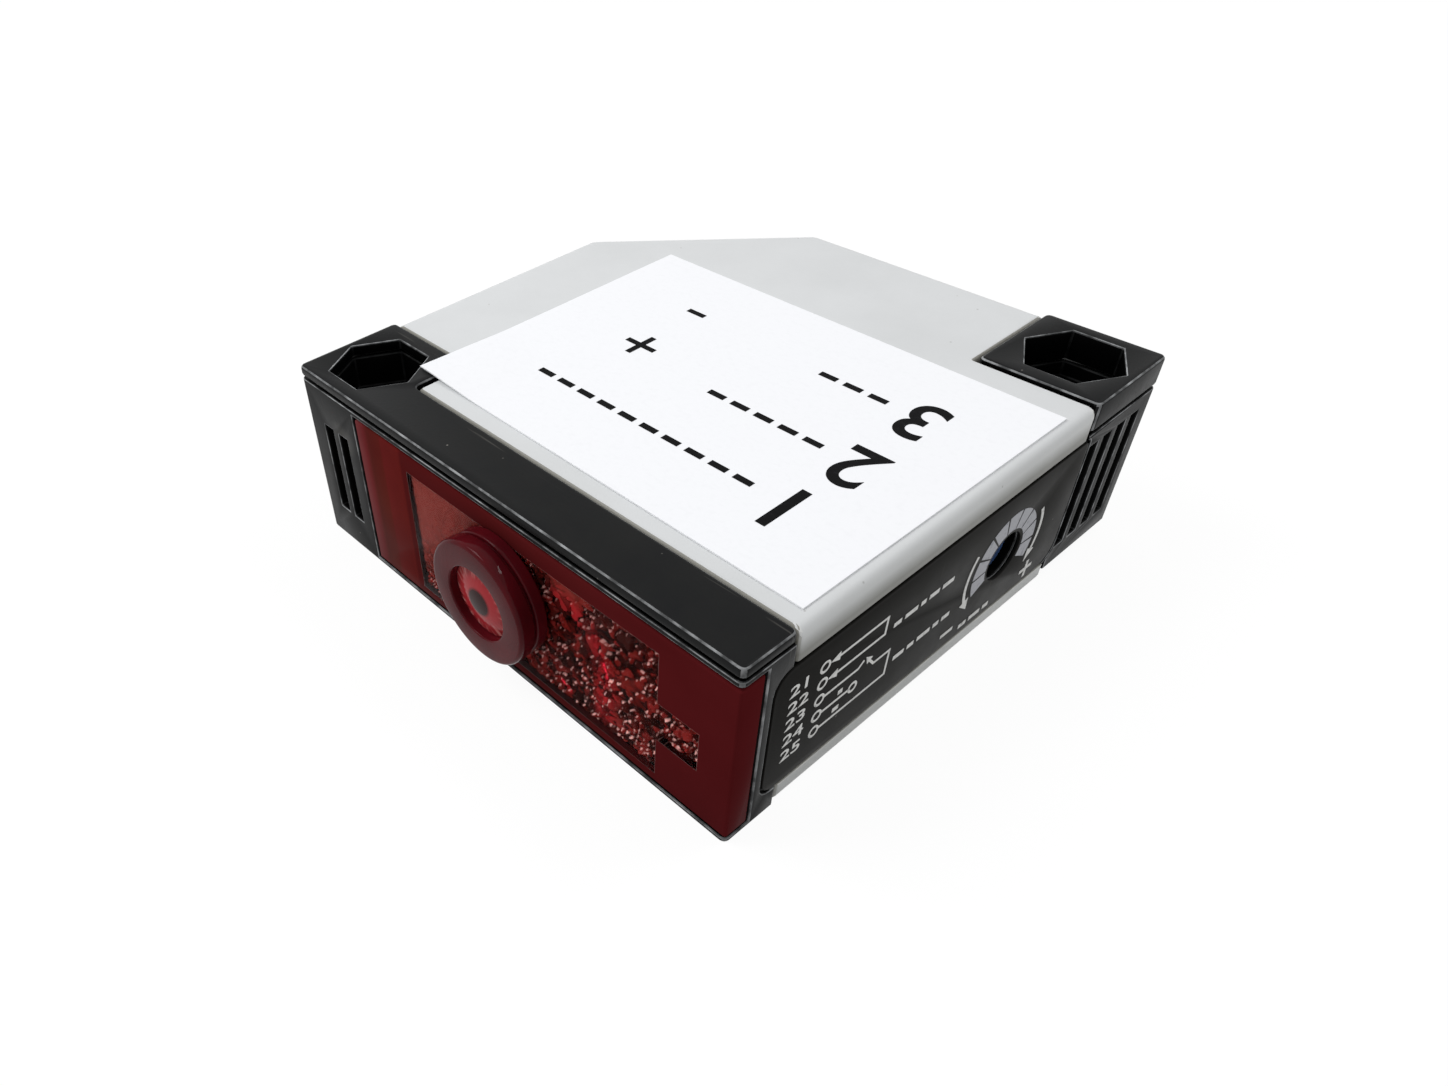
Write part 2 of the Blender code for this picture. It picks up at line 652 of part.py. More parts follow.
def cut_cavity(case):
    """The inside: a stepped well under the covers and a tunnel behind the window."""
    shelf = BOARD_LOW - SEAM
    well = cover_outline(CASE_WALL, LEDGE)
    narrow = cover_outline(CASE_WALL + BOARD_SHELF, LEDGE)
    cut(case, upright("well", well, shelf, BODY_Z + OVERCUT))
    cut(case, upright("narrow_well", narrow, -OVERCUT, shelf + OVERCUT))
    tunnel_low = (X0 + BLOCK + LEDGE, FRONT_WALL_BACK, FLOOR_LEDGE_TOP)
    tunnel_high = (X1 - CASE_WALL, Y0 + BLOCK, LEDGE_UNDER)
    cut(case, box("tunnel", tunnel_low, tunnel_high))
    cut(case, fronted("panel_seat", panel_outline(SEAM), Y0, PANEL_BACK + GLUE))
    cut(case, fronted("panel_opening", panel_outline(-PANEL_LIP), Y0, FRONT_WALL_BACK + OVERCUT))


def cut_plates(case):
    """Room for the frame plate, the corner pad, the window and the nameplate."""
    plate = frame_plate_outline(OVERCUT, SEAM / 2)
    cut(case, upright("frame_plate_seat", plate, BODY_Z - FRAME_PLATE - SEAM, BODY_Z + OVERCUT))
    inner = BLOCK + SEAM / 2
    pad = rectangle(X1 - inner, Y1 - inner, X1 + OVERCUT, Y1 + OVERCUT)
    cut(case, upright("corner_pad_seat", pad, BODY_Z - PAD_THICKNESS - SEAM, BODY_Z + OVERCUT))
    cut(case, upright("window_seat", window_outline(SEAM), WINDOW_LOW - SEAM, WINDOW_TOP + SEAM))
    cut(case, sided("nameplate_seat", nameplate_outline(SEAM), X1 - NAMEPLATE_POCKET, X1 + OVERCUT))


def cut_blocks(case):
    """Screw holes, nut pockets, slotted sides and the stepped foot of the mounting blocks."""
    for side, centre in (("left", LEFT_HOLE), ("right", RIGHT_HOLE)):
        start = (*centre, -OVERCUT)
        cut(case, rod(side + "_screw_hole", start, (0, 0, 1), HOLE_DIAMETER / 2, BODY_Z + 2 * OVERCUT))
        floor = BODY_Z - NUT_POCKET_DEPTH
        cut(case, upright(side + "_nut_pocket", nut_outline(centre), floor, BODY_Z + OVERCUT))
    for k in range(LEFT_SLOTS):
        left = X0 + LEFT_SLOT_START + k * LEFT_SLOT_PITCH
        low = (left, Y0 - OVERCUT, LEFT_SLOT_LOW)
        high = (left + LEFT_SLOT_WIDTH, Y0 + SLOT_DEPTH, BODY_Z - LEFT_SLOT_DROP)
        cut(case, box("left_slot_%d" % k, low, high))
    for k in range(RIGHT_SLOTS):
        far = Y1 - RIGHT_SLOT_START - k * RIGHT_SLOT_PITCH
        low = (X1 - SLOT_DEPTH, far - RIGHT_SLOT_WIDTH, RIGHT_SLOT_LOW)
        high = (X1 + OVERCUT, far, BODY_Z - RIGHT_SLOT_DROP)
        cut(case, box("right_slot_%d" % k, low, high))
    step_x = (X1 - FOOT_STEP_INSET, Y1 - BLOCK, -OVERCUT)
    step_y = (X1 - BLOCK, Y1 - FOOT_STEP_INSET, -OVERCUT)
    corner = (X1 + OVERCUT, Y1 + OVERCUT, FOOT_STEP_HEIGHT)
    cut(case, box("foot_step_x", step_x, corner))
    cut(case, box("foot_step_y", step_y, corner))


def main_case():
    """Black moulded case: outer walls, mounting blocks, window frame and inner ledges."""
    case = upright("main_case", body_outline(0.0), 0.0, BODY_Z, BLACK_ABS)
    cut_cover_seats(case)
    cut_plates(case)
    cut_cavity(case)
    cut_blocks(case)
    through = CASE_WALL + 2 * OVERCUT
    dial = (X1 - CASE_WALL - OVERCUT, DIAL_Y, DIAL_Z)
    cut(case, rod("dial_bore", dial, (1, 0, 0), DIAL_HOLE_RADIUS, through, steps=SMALL_CIRCLE_STEPS))
    inlet = CABLE_POINT - CABLE_OUT * (CASE_WALL + OVERCUT)
    cut(case, rod("cable_bore", inlet, CABLE_OUT, BUSHING_NECK_RADIUS + SEAM, through))
    return case


def frame_plate():
    """Black L-shaped plate over the window and the left mounting block."""
    outline = rounded(frame_plate_outline(0.0, 0.0), CORNER_ROUND)
    plate = upright("frame_plate", outline, BODY_Z - FRAME_PLATE, BODY_Z, BLACK_ABS)
    soften(plate, PLATE_ROUND)
    nut = nut_outline(LEFT_HOLE)
    return cut(plate, upright("frame_plate_nut", nut, BODY_Z - FRAME_PLATE - OVERCUT, BODY_Z + OVERCUT))


def corner_pad():
    """Black pad that closes the top of the right mounting block."""
    outline = rounded(rectangle(X1 - BLOCK, Y1 - BLOCK, X1, Y1), CORNER_ROUND)
    pad = upright("corner_pad", outline, BODY_Z - PAD_THICKNESS, BODY_Z, BLACK_ABS)
    soften(pad, PLATE_ROUND)
    nut = nut_outline(RIGHT_HOLE)
    return cut(pad, upright("corner_pad_nut", nut, BODY_Z - PAD_THICKNESS - OVERCUT, BODY_Z + OVERCUT))


def front_window():
    """Red acrylic window across the lens face and round the near corner."""
    window = upright("front_window", window_outline(0.0), WINDOW_LOW, WINDOW_TOP, RED_ACRYLIC)
    soften(window, WINDOW_ROUND, 2)
    bore = rod("window_bore", (LENS_X, Y0 - OVERCUT, LENS_Z), (0, 1, 0), SPIGOT_RADIUS + RUNNING_GAP,
               WINDOW_THICKNESS + 2 * OVERCUT)
    return cut(window, bore)


def textured_panel():
    """Pebbled red panel seen through the window, with an arm over the indicator lamps."""
    panel = fronted("textured_panel", panel_outline(0.0), PANEL_FACE, PANEL_BACK, PEBBLED_RED)
    bore = rod("panel_bore", (LENS_X, Y0, LENS_Z), (0, 1, 0), SPIGOT_RADIUS + RUNNING_GAP,
               PANEL_BACK - Y0 + OVERCUT)
    return cut(panel, bore)


def lens_collar():
    """Deep red flanged collar round the lens, its spigot passing window and panel."""
    flange_back = -COLLAR_FLANGE
    groove_back = flange_back - COLLAR_GROOVE_WIDTH
    base_back = -(COLLAR_PROUD - GLUE)
    spigot_back = COLLAR_FACE - COLLAR_BACK
    groove_floor = COLLAR_RADIUS - COLLAR_GROOVE_DEPTH
    edge = arc((COLLAR_RADIUS - COLLAR_ROUND, -COLLAR_ROUND), COLLAR_ROUND, 90.0, 0.0, ROUND_SEGMENTS)
    profile = [
        (APERTURE_RADIUS, 0.0), *edge, (COLLAR_RADIUS, flange_back), (groove_floor, flange_back),
        (groove_floor, groove_back), (COLLAR_BASE_RADIUS, groove_back), (COLLAR_BASE_RADIUS, base_back),
        (SPIGOT_RADIUS, base_back), (SPIGOT_RADIUS, spigot_back), (COLLAR_BORE_RADIUS, spigot_back),
        (COLLAR_BORE_RADIUS, -APERTURE_DEPTH), (APERTURE_RADIUS, -APERTURE_DEPTH)]
    start = (LENS_X, COLLAR_FACE, LENS_Z)
    return smooth(turned("lens_collar", start, (0, -1, 0), profile, DEEP_RED_ACRYLIC, closed=True))


def lens():
    """Plano-convex red lens behind the collar's aperture."""
    crown_reach = APERTURE_RADIUS - RUNNING_GAP
    sphere = (crown_reach ** 2 + LENS_CROWN ** 2) / (2 * LENS_CROWN)
    half = math.asin(crown_reach / sphere)
    turns = [half * k / DOME_STEPS for k in range(DOME_STEPS + 1)]
    dome = [(sphere * math.sin(a), sphere * math.cos(a) - sphere) for a in turns]
    flat = LENS_APEX - LENS_FLAT
    profile = [*dome, (LENS_RADIUS, -LENS_CROWN), (LENS_RADIUS, flat), (0.0, flat)]
    return smooth(turned("lens", (LENS_X, LENS_APEX, LENS_Z), (0, -1, 0), profile, LENS_RED))


def lens_retainer():
    """Ring that holds the lens against the collar's shoulder."""
    inner = LENS_RADIUS - RETAINER_WALL
    profile = [(LENS_RADIUS, 0.0), (LENS_RADIUS, -RETAINER_LENGTH), (inner, -RETAINER_LENGTH), (inner, 0.0)]
    start = (LENS_X, LENS_FLAT + SEAM, LENS_Z)
    return smooth(turned("lens_retainer", start, (0, -1, 0), profile, BLACK_ABS, closed=True))


def optical_bench():
    """Black bench behind the lens: a through bore, a slanted mirror slot and a lamp bore."""
    left, right = LENS_X - BENCH_WIDTH / 2, LENS_X + BENCH_WIDTH / 2
    bench = box("optical_bench", (left, BENCH_FRONT, INNER_LOW), (right, BENCH_BACK, INNER_HIGH), BLACK_ABS)
    cut(bench, rod("bench_bore", (LENS_X, BENCH_FRONT - OVERCUT, LENS_Z), (0, 1, 0), BENCH_BORE_RADIUS,
                   BENCH_DEPTH + 2 * OVERCUT))
    gap = RUNNING_GAP
    start = (left - OVERCUT, MIRROR_Y, LENS_Z)
    reach = BENCH_WIDTH / 2 + OVERCUT
    cut(bench, rod("emitter_bore", start, (1, 0, 0), EMITTER_RADIUS + gap, reach, steps=SMALL_CIRCLE_STEPS))
    slot = box("mirror_slot",
               (-MIRROR_LENGTH / 2 - gap, -MIRROR_THICKNESS / 2 - gap, LENS_Z - MIRROR_HALF - gap),
               (MIRROR_LENGTH / 2 + gap, MIRROR_THICKNESS / 2 + gap, INNER_HIGH + OVERCUT))
    slot.location.x += LENS_X
    slot.location.y += MIRROR_Y
    slot.rotation_euler.z = MIRROR_TURN
    return cut(bench, slot)


def half_mirror():
    """Beam splitter plate standing at 45 degrees in the bench."""
    mirror = box("half_mirror", (-MIRROR_LENGTH / 2, -MIRROR_THICKNESS / 2, LENS_Z - MIRROR_HALF),
                 (MIRROR_LENGTH / 2, MIRROR_THICKNESS / 2, LENS_Z + MIRROR_HALF), GLASS)
    mirror.location.x += LENS_X
    mirror.location.y += MIRROR_Y
    mirror.rotation_euler.z = MIRROR_TURN
    return mirror


def emitter_led():
    """Domed emitter whose flange stops on the bench's side."""
    turns = [math.pi / 2 * k / DOME_STEPS for k in range(DOME_STEPS + 1)]
    dome = [(EMITTER_RADIUS * math.sin(a), EMITTER_RADIUS * (math.cos(a) - 1)) for a in turns]
    neck_end = -(EMITTER_LENGTH - EMITTER_FLANGE)
    profile = [*dome, (EMITTER_RADIUS, neck_end), (EMITTER_FLANGE_RADIUS, neck_end),
               (EMITTER_FLANGE_RADIUS, -EMITTER_LENGTH), (0.0, -EMITTER_LENGTH)]
    tip = LENS_X - BENCH_WIDTH / 2 - SEAM + EMITTER_LENGTH - EMITTER_FLANGE
    start = (tip, MIRROR_Y, LENS_Z)
    return smooth(turned("emitter_led", start, (1, 0, 0), profile, CLEAR, steps=SMALL_CIRCLE_STEPS))


def receiver_board():
    """Small upright board at the back of the bench, behind the photodiode."""
    left, right = LENS_X - BENCH_WIDTH / 2, LENS_X + BENCH_WIDTH / 2
    back = RECEIVER_BOARD_Y + BOARD_THIN
    return box("receiver_board", (left, RECEIVER_BOARD_Y, INNER_LOW), (right, back, INNER_HIGH), FIBREGLASS)


def receiver_photodiode():
    """Square photodiode in the end of the bench's bore."""
    half = RECEIVER_HALF
    back = RECEIVER_BOARD_Y - SEAM
    low = (LENS_X - half, back - RECEIVER_THICKNESS, LENS_Z - half)
    return box("receiver_photodiode", low, (LENS_X + half, back, LENS_Z + half), EPOXY)


def indicator_lamps():
    """Two small lamps on an upright board behind the arm of the textured panel."""
    lip_end = X1 - PANEL_RIGHT + ARM_LENGTH - PANEL_LIP
    middle_x = lip_end - RUNNING_GAP - (LAMP_WIDTH + LAMP_PITCH) / 2
    middle_z = ARM_LOW + ARM_HEIGHT / 2
    front = PANEL_BACK + SEAT
    back = front + LAMP_LENGTH
    for name, side, look in (("indicator_lamp_green", -1, GREEN_LAMP), ("indicator_lamp_red", 1, RED_LAMP)):
        centre = middle_x + side * LAMP_PITCH / 2
        low = (centre - LAMP_WIDTH / 2, front, middle_z - LAMP_HEIGHT / 2)
        lamp = box(name, low, (centre + LAMP_WIDTH / 2, back, middle_z + LAMP_HEIGHT / 2), look)
        soften(lamp, LAMP_ROUND, 2)
    reach = LAMP_PITCH / 2 + LAMP_WIDTH
    low = (middle_x - reach, back + SEAM, INNER_LOW)
    high = (min(middle_x + reach, X1 - CASE_WALL - SEAT), back + SEAM + BOARD_THIN, INNER_HIGH)
    box("indicator_board", low, high, FIBREGLASS)


def nameplate():
    """Black nameplate on the +X side, holed for the sensitivity dial."""
    low = X1 - NAMEPLATE_THICKNESS
    plate = sided("nameplate", nameplate_outline(0.0), low, X1, PLATE_BLACK)
    start = (X1 - NAMEPLATE_POCKET - OVERCUT, DIAL_Y, DIAL_Z)
    through = NAMEPLATE_POCKET + 2 * OVERCUT
    hole = rod("nameplate_hole", start, (1, 0, 0), DIAL_HOLE_RADIUS, through, steps=SMALL_CIRCLE_STEPS)
    return cut(plate, hole)


def paper_sticker():
    """White paper sticker, laid slightly turned across the upper cover and the left block."""
    low = BODY_Z + GLUE
    outline = rectangle(-STICKER_X / 2, -STICKER_Y / 2, STICKER_X / 2, STICKER_Y / 2)
    sticker = upright("paper_sticker", outline, low, low + STICKER_THICKNESS, PAPER)
    sticker.location.x, sticker.location.y = STICKER_CENTRE
    sticker.rotation_euler.z = STICKER_TURN
    return sticker


def cable_bushing():
    """Rubber bushing in the cut corner, gripping the case's wall between two flanges."""
    wall_back = -(CASE_WALL + SEAM)
    profile = [
        (BUSHING_NOSE_RADIUS, BUSHING_PROUD), (BUSHING_RADIUS, BUSHING_PROUD / 2), (BUSHING_RADIUS, SEAM),
        (BUSHING_NECK_RADIUS, SEAM), (BUSHING_NECK_RADIUS, wall_back), (BUSHING_RADIUS, wall_back),
        (BUSHING_RADIUS, -BUSHING_INNER_END), (BUSHING_BORE_RADIUS, -BUSHING_INNER_END),
        (BUSHING_BORE_RADIUS, BUSHING_PROUD)]
    bushing = turned("cable_bushing", CABLE_POINT, CABLE_OUT, profile, RUBBER, closed=True,
                     steps=SMALL_CIRCLE_STEPS)
    return smooth(bushing)


def cable_clamp():
    """Saddle on the board, reaching a share of the cable's radius above its axis."""
    half = CLAMP_WIDTH / 2
    low = PART_LOW
    axis_z = CABLE_POINT.z
    high = axis_z + CLAMP_GRIP * BUSHING_BORE_RADIUS
    drop = math.degrees(math.asin(CLAMP_GRIP))
    trough = arc((0.0, axis_z), BUSHING_BORE_RADIUS, drop, -180.0 - drop, 4 * CORNER_STEPS)
    outline = [(-half, low), (half, low), (half, high), *trough, (-half, high)]
    clamp = fronted("cable_clamp", outline, -CLAMP_THICKNESS / 2, CLAMP_THICKNESS / 2, CREAM)
    inward = BUSHING_INNER_END + SEAT + CLAMP_THICKNESS
    centre = CABLE_POINT - CABLE_OUT * inward
    turn = Matrix.Rotation(math.radians(45), 4, "Z")
    clamp.matrix_world = Matrix.Translation((centre.x, centre.y, 0.0)) @ turn @ clamp.matrix_world
    return clamp


def main_board():
    """Circuit board on the case's shelf, clear of the blocks and the bushing."""
    side = CASE_WALL + SEAT
    notch = BLOCK + LEDGE + SEAT
    slide = (BUSHING_INNER_END + SEAT) * math.sqrt(2.0)
    reach = CABLE_CORNER + slide - side
    outline = [
        (X0 + side, BOARD_FRONT), (X1 - side, BOARD_FRONT), (X1 - side, Y1 - notch),
        (X1 - notch, Y1 - notch), (X1 - notch, Y1 - side), (X0 + reach, Y1 - side), (X0 + side, Y1 - reach)]
    return upright("main_board", outline, BOARD_LOW, BOARD_TOP, FIBREGLASS)


def output_relay():
    """Output relay in a sealed box along the board's front edge."""
    left = -PART_ROW / 2
    front = BOARD_FRONT + SEAT
    high = (left + RELAY_X, front + RELAY_Y, PART_HIGH)
    return soften(box("output_relay", (left, front, PART_LOW), high, RELAY_BLUE), RELAY_ROUND)


def capacitor_centre():
    """The smoothing capacitor's place, beside the relay."""
    x = -PART_ROW / 2 + RELAY_X + LEDGE + CAPACITOR_RADIUS
    return x, BOARD_FRONT + SEAT + CAPACITOR_RADIUS


def smoothing_capacitor():
    """Standing electrolytic capacitor with a rolled bead near its foot."""
    x, y = capacitor_centre()
    radius, bead, rise = CAPACITOR_RADIUS, CAPACITOR_BEAD, CAPACITOR_BEAD_RISE
    height = PART_HIGH - PART_LOW
    profile = [
        (0.0, height), (radius - bead, height), (radius, height - bead),
        (radius, rise + 2 * bead), (radius - bead, rise + bead), (radius - bead, rise),
        (radius, rise - bead), (radius, 0.0), (0.0, 0.0)]
    foot = (x, y, PART_LOW)
    return smooth(turned("smoothing_capacitor", foot, (0, 0, 1), profile, SLEEVE, steps=SMALL_CIRCLE_STEPS))


def bridge_rectifier():
    """Flat bridge rectifier beside the capacitor."""
    x, y = capacitor_centre()
    left = x + CAPACITOR_RADIUS + LEDGE
    low = (left, y - RECTIFIER_Y / 2, PART_LOW)
    high = (left + RECTIFIER_X, y + RECTIFIER_Y / 2, PART_LOW + RECTIFIER_HEIGHT)
    return soften(box("bridge_rectifier", low, high, EPOXY), RELAY_ROUND, 2)


def signal_chip():
    """Signal chip with gull-wing legs along both sides."""
    x, y = capacitor_centre()
    y += CAPACITOR_RADIUS + LEDGE + CHIP_LEG_REACH + CHIP_Y / 2
    low = PART_LOW + CHIP_LIFT
    high = (x + CHIP_X / 2, y + CHIP_Y / 2, low + CHIP_HEIGHT)
    body = box("signal_chip", (x - CHIP_X / 2, y - CHIP_Y / 2, low), high, EPOXY)
    middle = low + CHIP_HEIGHT / 2
    knee = CHIP_LEG_REACH / 2
    thick = CHIP_LEG_THICKNESS
    for side in (-1, 1):
        root = y + side * (CHIP_Y / 2 - knee)
        inner, outer = root + side * 2 * knee, root + side * (2 * knee + thick)
        toe = root + side * 3 * knee
        shape = [
            (root, middle), (inner, middle), (inner, PART_LOW), (toe, PART_LOW), (toe, PART_LOW + thick),
            (outer, PART_LOW + thick), (outer, middle + thick), (root, middle + thick)]
        for k in range(CHIP_LEGS):
            centre = x + (k - (CHIP_LEGS - 1) / 2) * CHIP_LEG_PITCH
            leg = sided("chip_leg_%d_%d" % (side + 1, k), shape, centre - CHIP_LEG_WIDTH / 2,
                        centre + CHIP_LEG_WIDTH / 2)
            join(body, leg)
    return body


def terminal_header():
    """Header with five square posts for the cable's wires."""
    length = TERMINALS * TERMINAL_PITCH
    x = X1 - BLOCK - LEDGE - SEAT - length - LEDGE
    y = Y1 - CASE_WALL - SEAT - TERMINAL_PITCH - LEDGE
    high = (x + length, y + TERMINAL_PITCH, PART_LOW + TERMINAL_BASE)
    header = box("terminal_header", (x, y, PART_LOW), high, TINNED)
    half = TERMINAL_SIZE / 2
    middle_y = y + TERMINAL_PITCH / 2
    for k in range(TERMINALS):
        centre = x + (k + 0.5) * TERMINAL_PITCH
        post = box("terminal_post_%d" % k, (centre - half, middle_y - half, PART_LOW + TERMINAL_BASE / 2),
                   (centre + half, middle_y + half, PART_LOW + TERMINAL_HEIGHT))
        join(header, post)
    return header


def trimmer_body():
    """Side-adjusted trimmer on the board, recessed for its rotor."""
    half = TRIMMER_WIDTH / 2
    low = (TRIMMER_FACE - TRIMMER_DEPTH, DIAL_Y - half, PART_LOW)
    body = box("trimmer_body", low, (TRIMMER_FACE, DIAL_Y + half, DIAL_Z + TRIMMER_RISE), CREAM)
    floor = (TRIMMER_FACE - ROTOR_SINK, DIAL_Y, DIAL_Z)
    recess = rod("trimmer_recess", floor, (1, 0, 0), ROTOR_RADIUS + RUNNING_GAP, ROTOR_SINK + OVERCUT,
                 steps=SMALL_CIRCLE_STEPS)
    return cut(body, recess)


def trimmer_rotor():
    """Slotted rotor turned with a screwdriver, its origin on its axis."""
    start = (ROTOR_BACK, DIAL_Y, DIAL_Z)
    rotor = rod("trimmer_rotor", start, (1, 0, 0), ROTOR_RADIUS, ROTOR_LENGTH, BLUE_DIAL, SMALL_CIRCLE_STEPS)
    smooth(rotor)
    half = ROTOR_SLOT_WIDTH / 2
    tip = ROTOR_BACK + ROTOR_LENGTH
    reach = ROTOR_RADIUS + OVERCUT
    slot_low = (tip - ROTOR_SLOT_DEPTH, DIAL_Y - half, DIAL_Z - reach)
    cut(rotor, box("rotor_slot", slot_low, (tip + OVERCUT, DIAL_Y + half, DIAL_Z + reach)))
    return rotor


for build in (
        main_case, frame_plate, corner_pad, upper_cover, lower_cover, front_window, textured_panel,
        lens_collar, lens, lens_retainer, optical_bench, half_mirror, emitter_led, receiver_board,
        receiver_photodiode, indicator_lamps, nameplate, paper_sticker, cable_bushing, cable_clamp,
        main_board, output_relay, smoothing_capacitor, bridge_rectifier, signal_chip, terminal_header,
        trimmer_body, trimmer_rotor):
    build()

bpy.context.view_layer.update()
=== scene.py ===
"""Finishes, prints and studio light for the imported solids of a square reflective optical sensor.

The lens face looks along -Y, the nameplate side along +X and the cable leaves at (-X, +Y).
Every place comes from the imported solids. A piece that needs a finer shape than its solid is
remade here and stands for it, and every other solid keeps its mesh and gets a material.
"""

import math

import bmesh
import bpy
import numpy as np
from mathutils import Matrix, Vector
from mathutils.bvhtree import BVHTree


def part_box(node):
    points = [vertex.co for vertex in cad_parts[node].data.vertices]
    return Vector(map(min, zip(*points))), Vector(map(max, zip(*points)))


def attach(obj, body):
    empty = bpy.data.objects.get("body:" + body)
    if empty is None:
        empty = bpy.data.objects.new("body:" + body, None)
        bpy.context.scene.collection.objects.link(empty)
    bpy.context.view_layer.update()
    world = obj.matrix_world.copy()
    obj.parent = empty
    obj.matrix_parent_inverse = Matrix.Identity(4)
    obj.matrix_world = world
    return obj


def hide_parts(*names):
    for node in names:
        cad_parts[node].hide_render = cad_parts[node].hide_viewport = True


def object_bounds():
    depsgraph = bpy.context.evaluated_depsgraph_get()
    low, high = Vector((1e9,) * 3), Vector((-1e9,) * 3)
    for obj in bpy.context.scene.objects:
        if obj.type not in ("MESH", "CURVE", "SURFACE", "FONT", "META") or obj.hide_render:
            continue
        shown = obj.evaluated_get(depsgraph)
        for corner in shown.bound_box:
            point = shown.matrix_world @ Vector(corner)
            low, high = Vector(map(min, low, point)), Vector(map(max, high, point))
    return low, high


bl_info = {
    "name": "Reflective Optical Sensor",
    "version": (1, 0, 0),
    "blender": (4, 5, 0),
    "location": "3D View > Sidebar > Sensor",
    "description": "Finishes, prints and a studio stage for a square reflective optical sensor",
    "category": "Object",
}

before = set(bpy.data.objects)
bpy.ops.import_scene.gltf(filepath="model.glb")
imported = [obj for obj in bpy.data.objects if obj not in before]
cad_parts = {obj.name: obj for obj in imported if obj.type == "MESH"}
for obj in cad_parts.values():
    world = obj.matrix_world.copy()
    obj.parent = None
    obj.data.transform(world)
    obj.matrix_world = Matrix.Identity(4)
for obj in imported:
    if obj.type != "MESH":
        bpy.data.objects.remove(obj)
CAD_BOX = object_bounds()

MM = 0.001
IMAGE_WIDTH = 1448
IMAGE_HEIGHT = 1086

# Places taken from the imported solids
CASE_LOW, CASE_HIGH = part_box("main_case")
_, PLATE_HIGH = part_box("frame_plate")
_, COVER_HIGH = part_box("upper_cover")
WINDOW_LOW, WINDOW_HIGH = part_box("front_window")
PANEL_LOW, PANEL_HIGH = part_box("textured_panel")
COLLAR_LOW, COLLAR_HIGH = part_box("lens_collar")
LENS_LOW, LENS_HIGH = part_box("lens")
LABEL_LOW, LABEL_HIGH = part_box("nameplate")
STICKER_LOW, STICKER_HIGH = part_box("paper_sticker")
ROTOR_LOW, ROTOR_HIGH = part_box("trimmer_rotor")
BUSHING_LOW, BUSHING_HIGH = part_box("cable_bushing")
AXIS = (COLLAR_LOW + COLLAR_HIGH) / 2
DIAL = (ROTOR_LOW + ROTOR_HIGH) / 2

# Mesh work
WELD = 0.002 * MM
FLAT_ANGLE = math.radians(0.3)
SHARP_ANGLE = math.radians(40)
SMOOTH_ANGLE = math.radians(38)
COPLANAR = 0.999
SHORT_EDGE = 2.2
ALIGNED = 0.7

# Shells of the housing, each with its finish and slot, and the marks of wear and painted highlight on their
# edges and of painted shade in their recesses
SHELLS = {
    "main_case": ("case_black", "black_abs"), "frame_plate": ("case_black", "black_abs"),
    "corner_pad": ("case_black", "black_abs"), "upper_cover": ("cover_grey", "light_grey_abs"),
    "lower_cover": ("cover_grey", "light_grey_abs")}
SLIM_FACET = 0.25 * MM
TILTED = 0.93
FACING_DOWN = -0.2
SKY_RAYS = 24
SKY_LIFT = 0.01 * MM
SKY_REACH = 20.0 * MM
GOLDEN_TURN = math.pi * (3.0 - math.sqrt(5.0))

# Shape of the textured panel
SKIN = 0.30 * MM
BORDER = 0.22 * MM
ARM_LENGTH = 3.8 * MM
ARM_LOW = 5.4 * MM
ARM_HEIGHT = 3.7 * MM
PANEL_BORE = 4.8 * MM

# Pebbles: lengths in pebble widths, the lattice in cells, the dense part in shares of the panel
PEBBLE_SEED = 7
PEBBLE_SQUASH = 0.72
PEBBLE_SWAY = 1.5
SWAY_LATTICE = (14, 36)
PEBBLE_TOP = 0.85
PEBBLE_LEAN = 0.25
CREASE_WIDTH = 0.42
DENSE_BELOW = (0.62, 0.42)
DENSE_RIGHT = (0.78, 0.88)

# Smooth parts of the panel with a painted pale reflection: its upper left corner, and a spot up and right of
# the collar, where it lightens the collar's shadow
PALE_CORNER = (0.10, -0.30)
PALE_LEAN = 0.45
PALE_SPOT = (8.8 * MM, 14.4 * MM)
PALE_REACH = (3.2 * MM, 0.8 * MM)
PALE_SPOT_SHARE = 0.85
PALE_FLATTENING = 0.7

# Painted lights on the panel: small highlights on slopes that face up and left, a red streak and two vivid
# painted glints
LIT_SLOPE = (0.24, 0.36)
LIGHT_WAY = (0.6, 0.8)
SPARKLE_LATTICE = (44, 120)
SPARKLE = (0.42, 0.70)
SPARKLE_LEAST = 0.45
STREAK = ((8.0 * MM, 12.6 * MM), (11.4 * MM, 10.2 * MM), (13.0 * MM, 6.6 * MM), (12.6 * MM, 3.0 * MM))
STREAK_REACH = 1.7 * MM
STREAK_SHARE = 0.6
VIVID_GLINTS = (((7.8 * MM, 3.3 * MM), (8.9 * MM, 2.7 * MM)), ((12.6 * MM, 8.4 * MM), (13.1 * MM, 6.7 * MM)))
GLINT_REACH = 0.3 * MM

# Flutes of the lens
FLUTE_DEPTH = 0.003 * MM
FLUTE_RISE = (1.2 * MM, 2.2 * MM)
FLUTE_END = 2.95 * MM

# Print on the nameplate: (along, up) in millimetres from the plate's lower corner
INK = 0.02 * MM
OVER_INK = 1.2 * INK
LINE_WIDTH = 0.22
SHARPEST_MITRE = 0.4
TERMINAL_ALONG = 5.1
TERMINAL_TOP = 9.3
TERMINAL_PITCH = 1.62
TERMINAL_RADIUS = 0.45
TERMINAL_ROWS = 5
ROWS = [TERMINAL_TOP - k * TERMINAL_PITCH for k in range(TERMINAL_ROWS)]
SUPPLY_ALONG = 11.9
COMMON_ALONG = 13.1
CODE_SIZE = 1.5
CODE_ALONG = 1.5
CODE_DROP = 0.52
CODE_WIDE = 1.5
BAR_HEIGHT = 0.42
BAR_GAP = 0.4

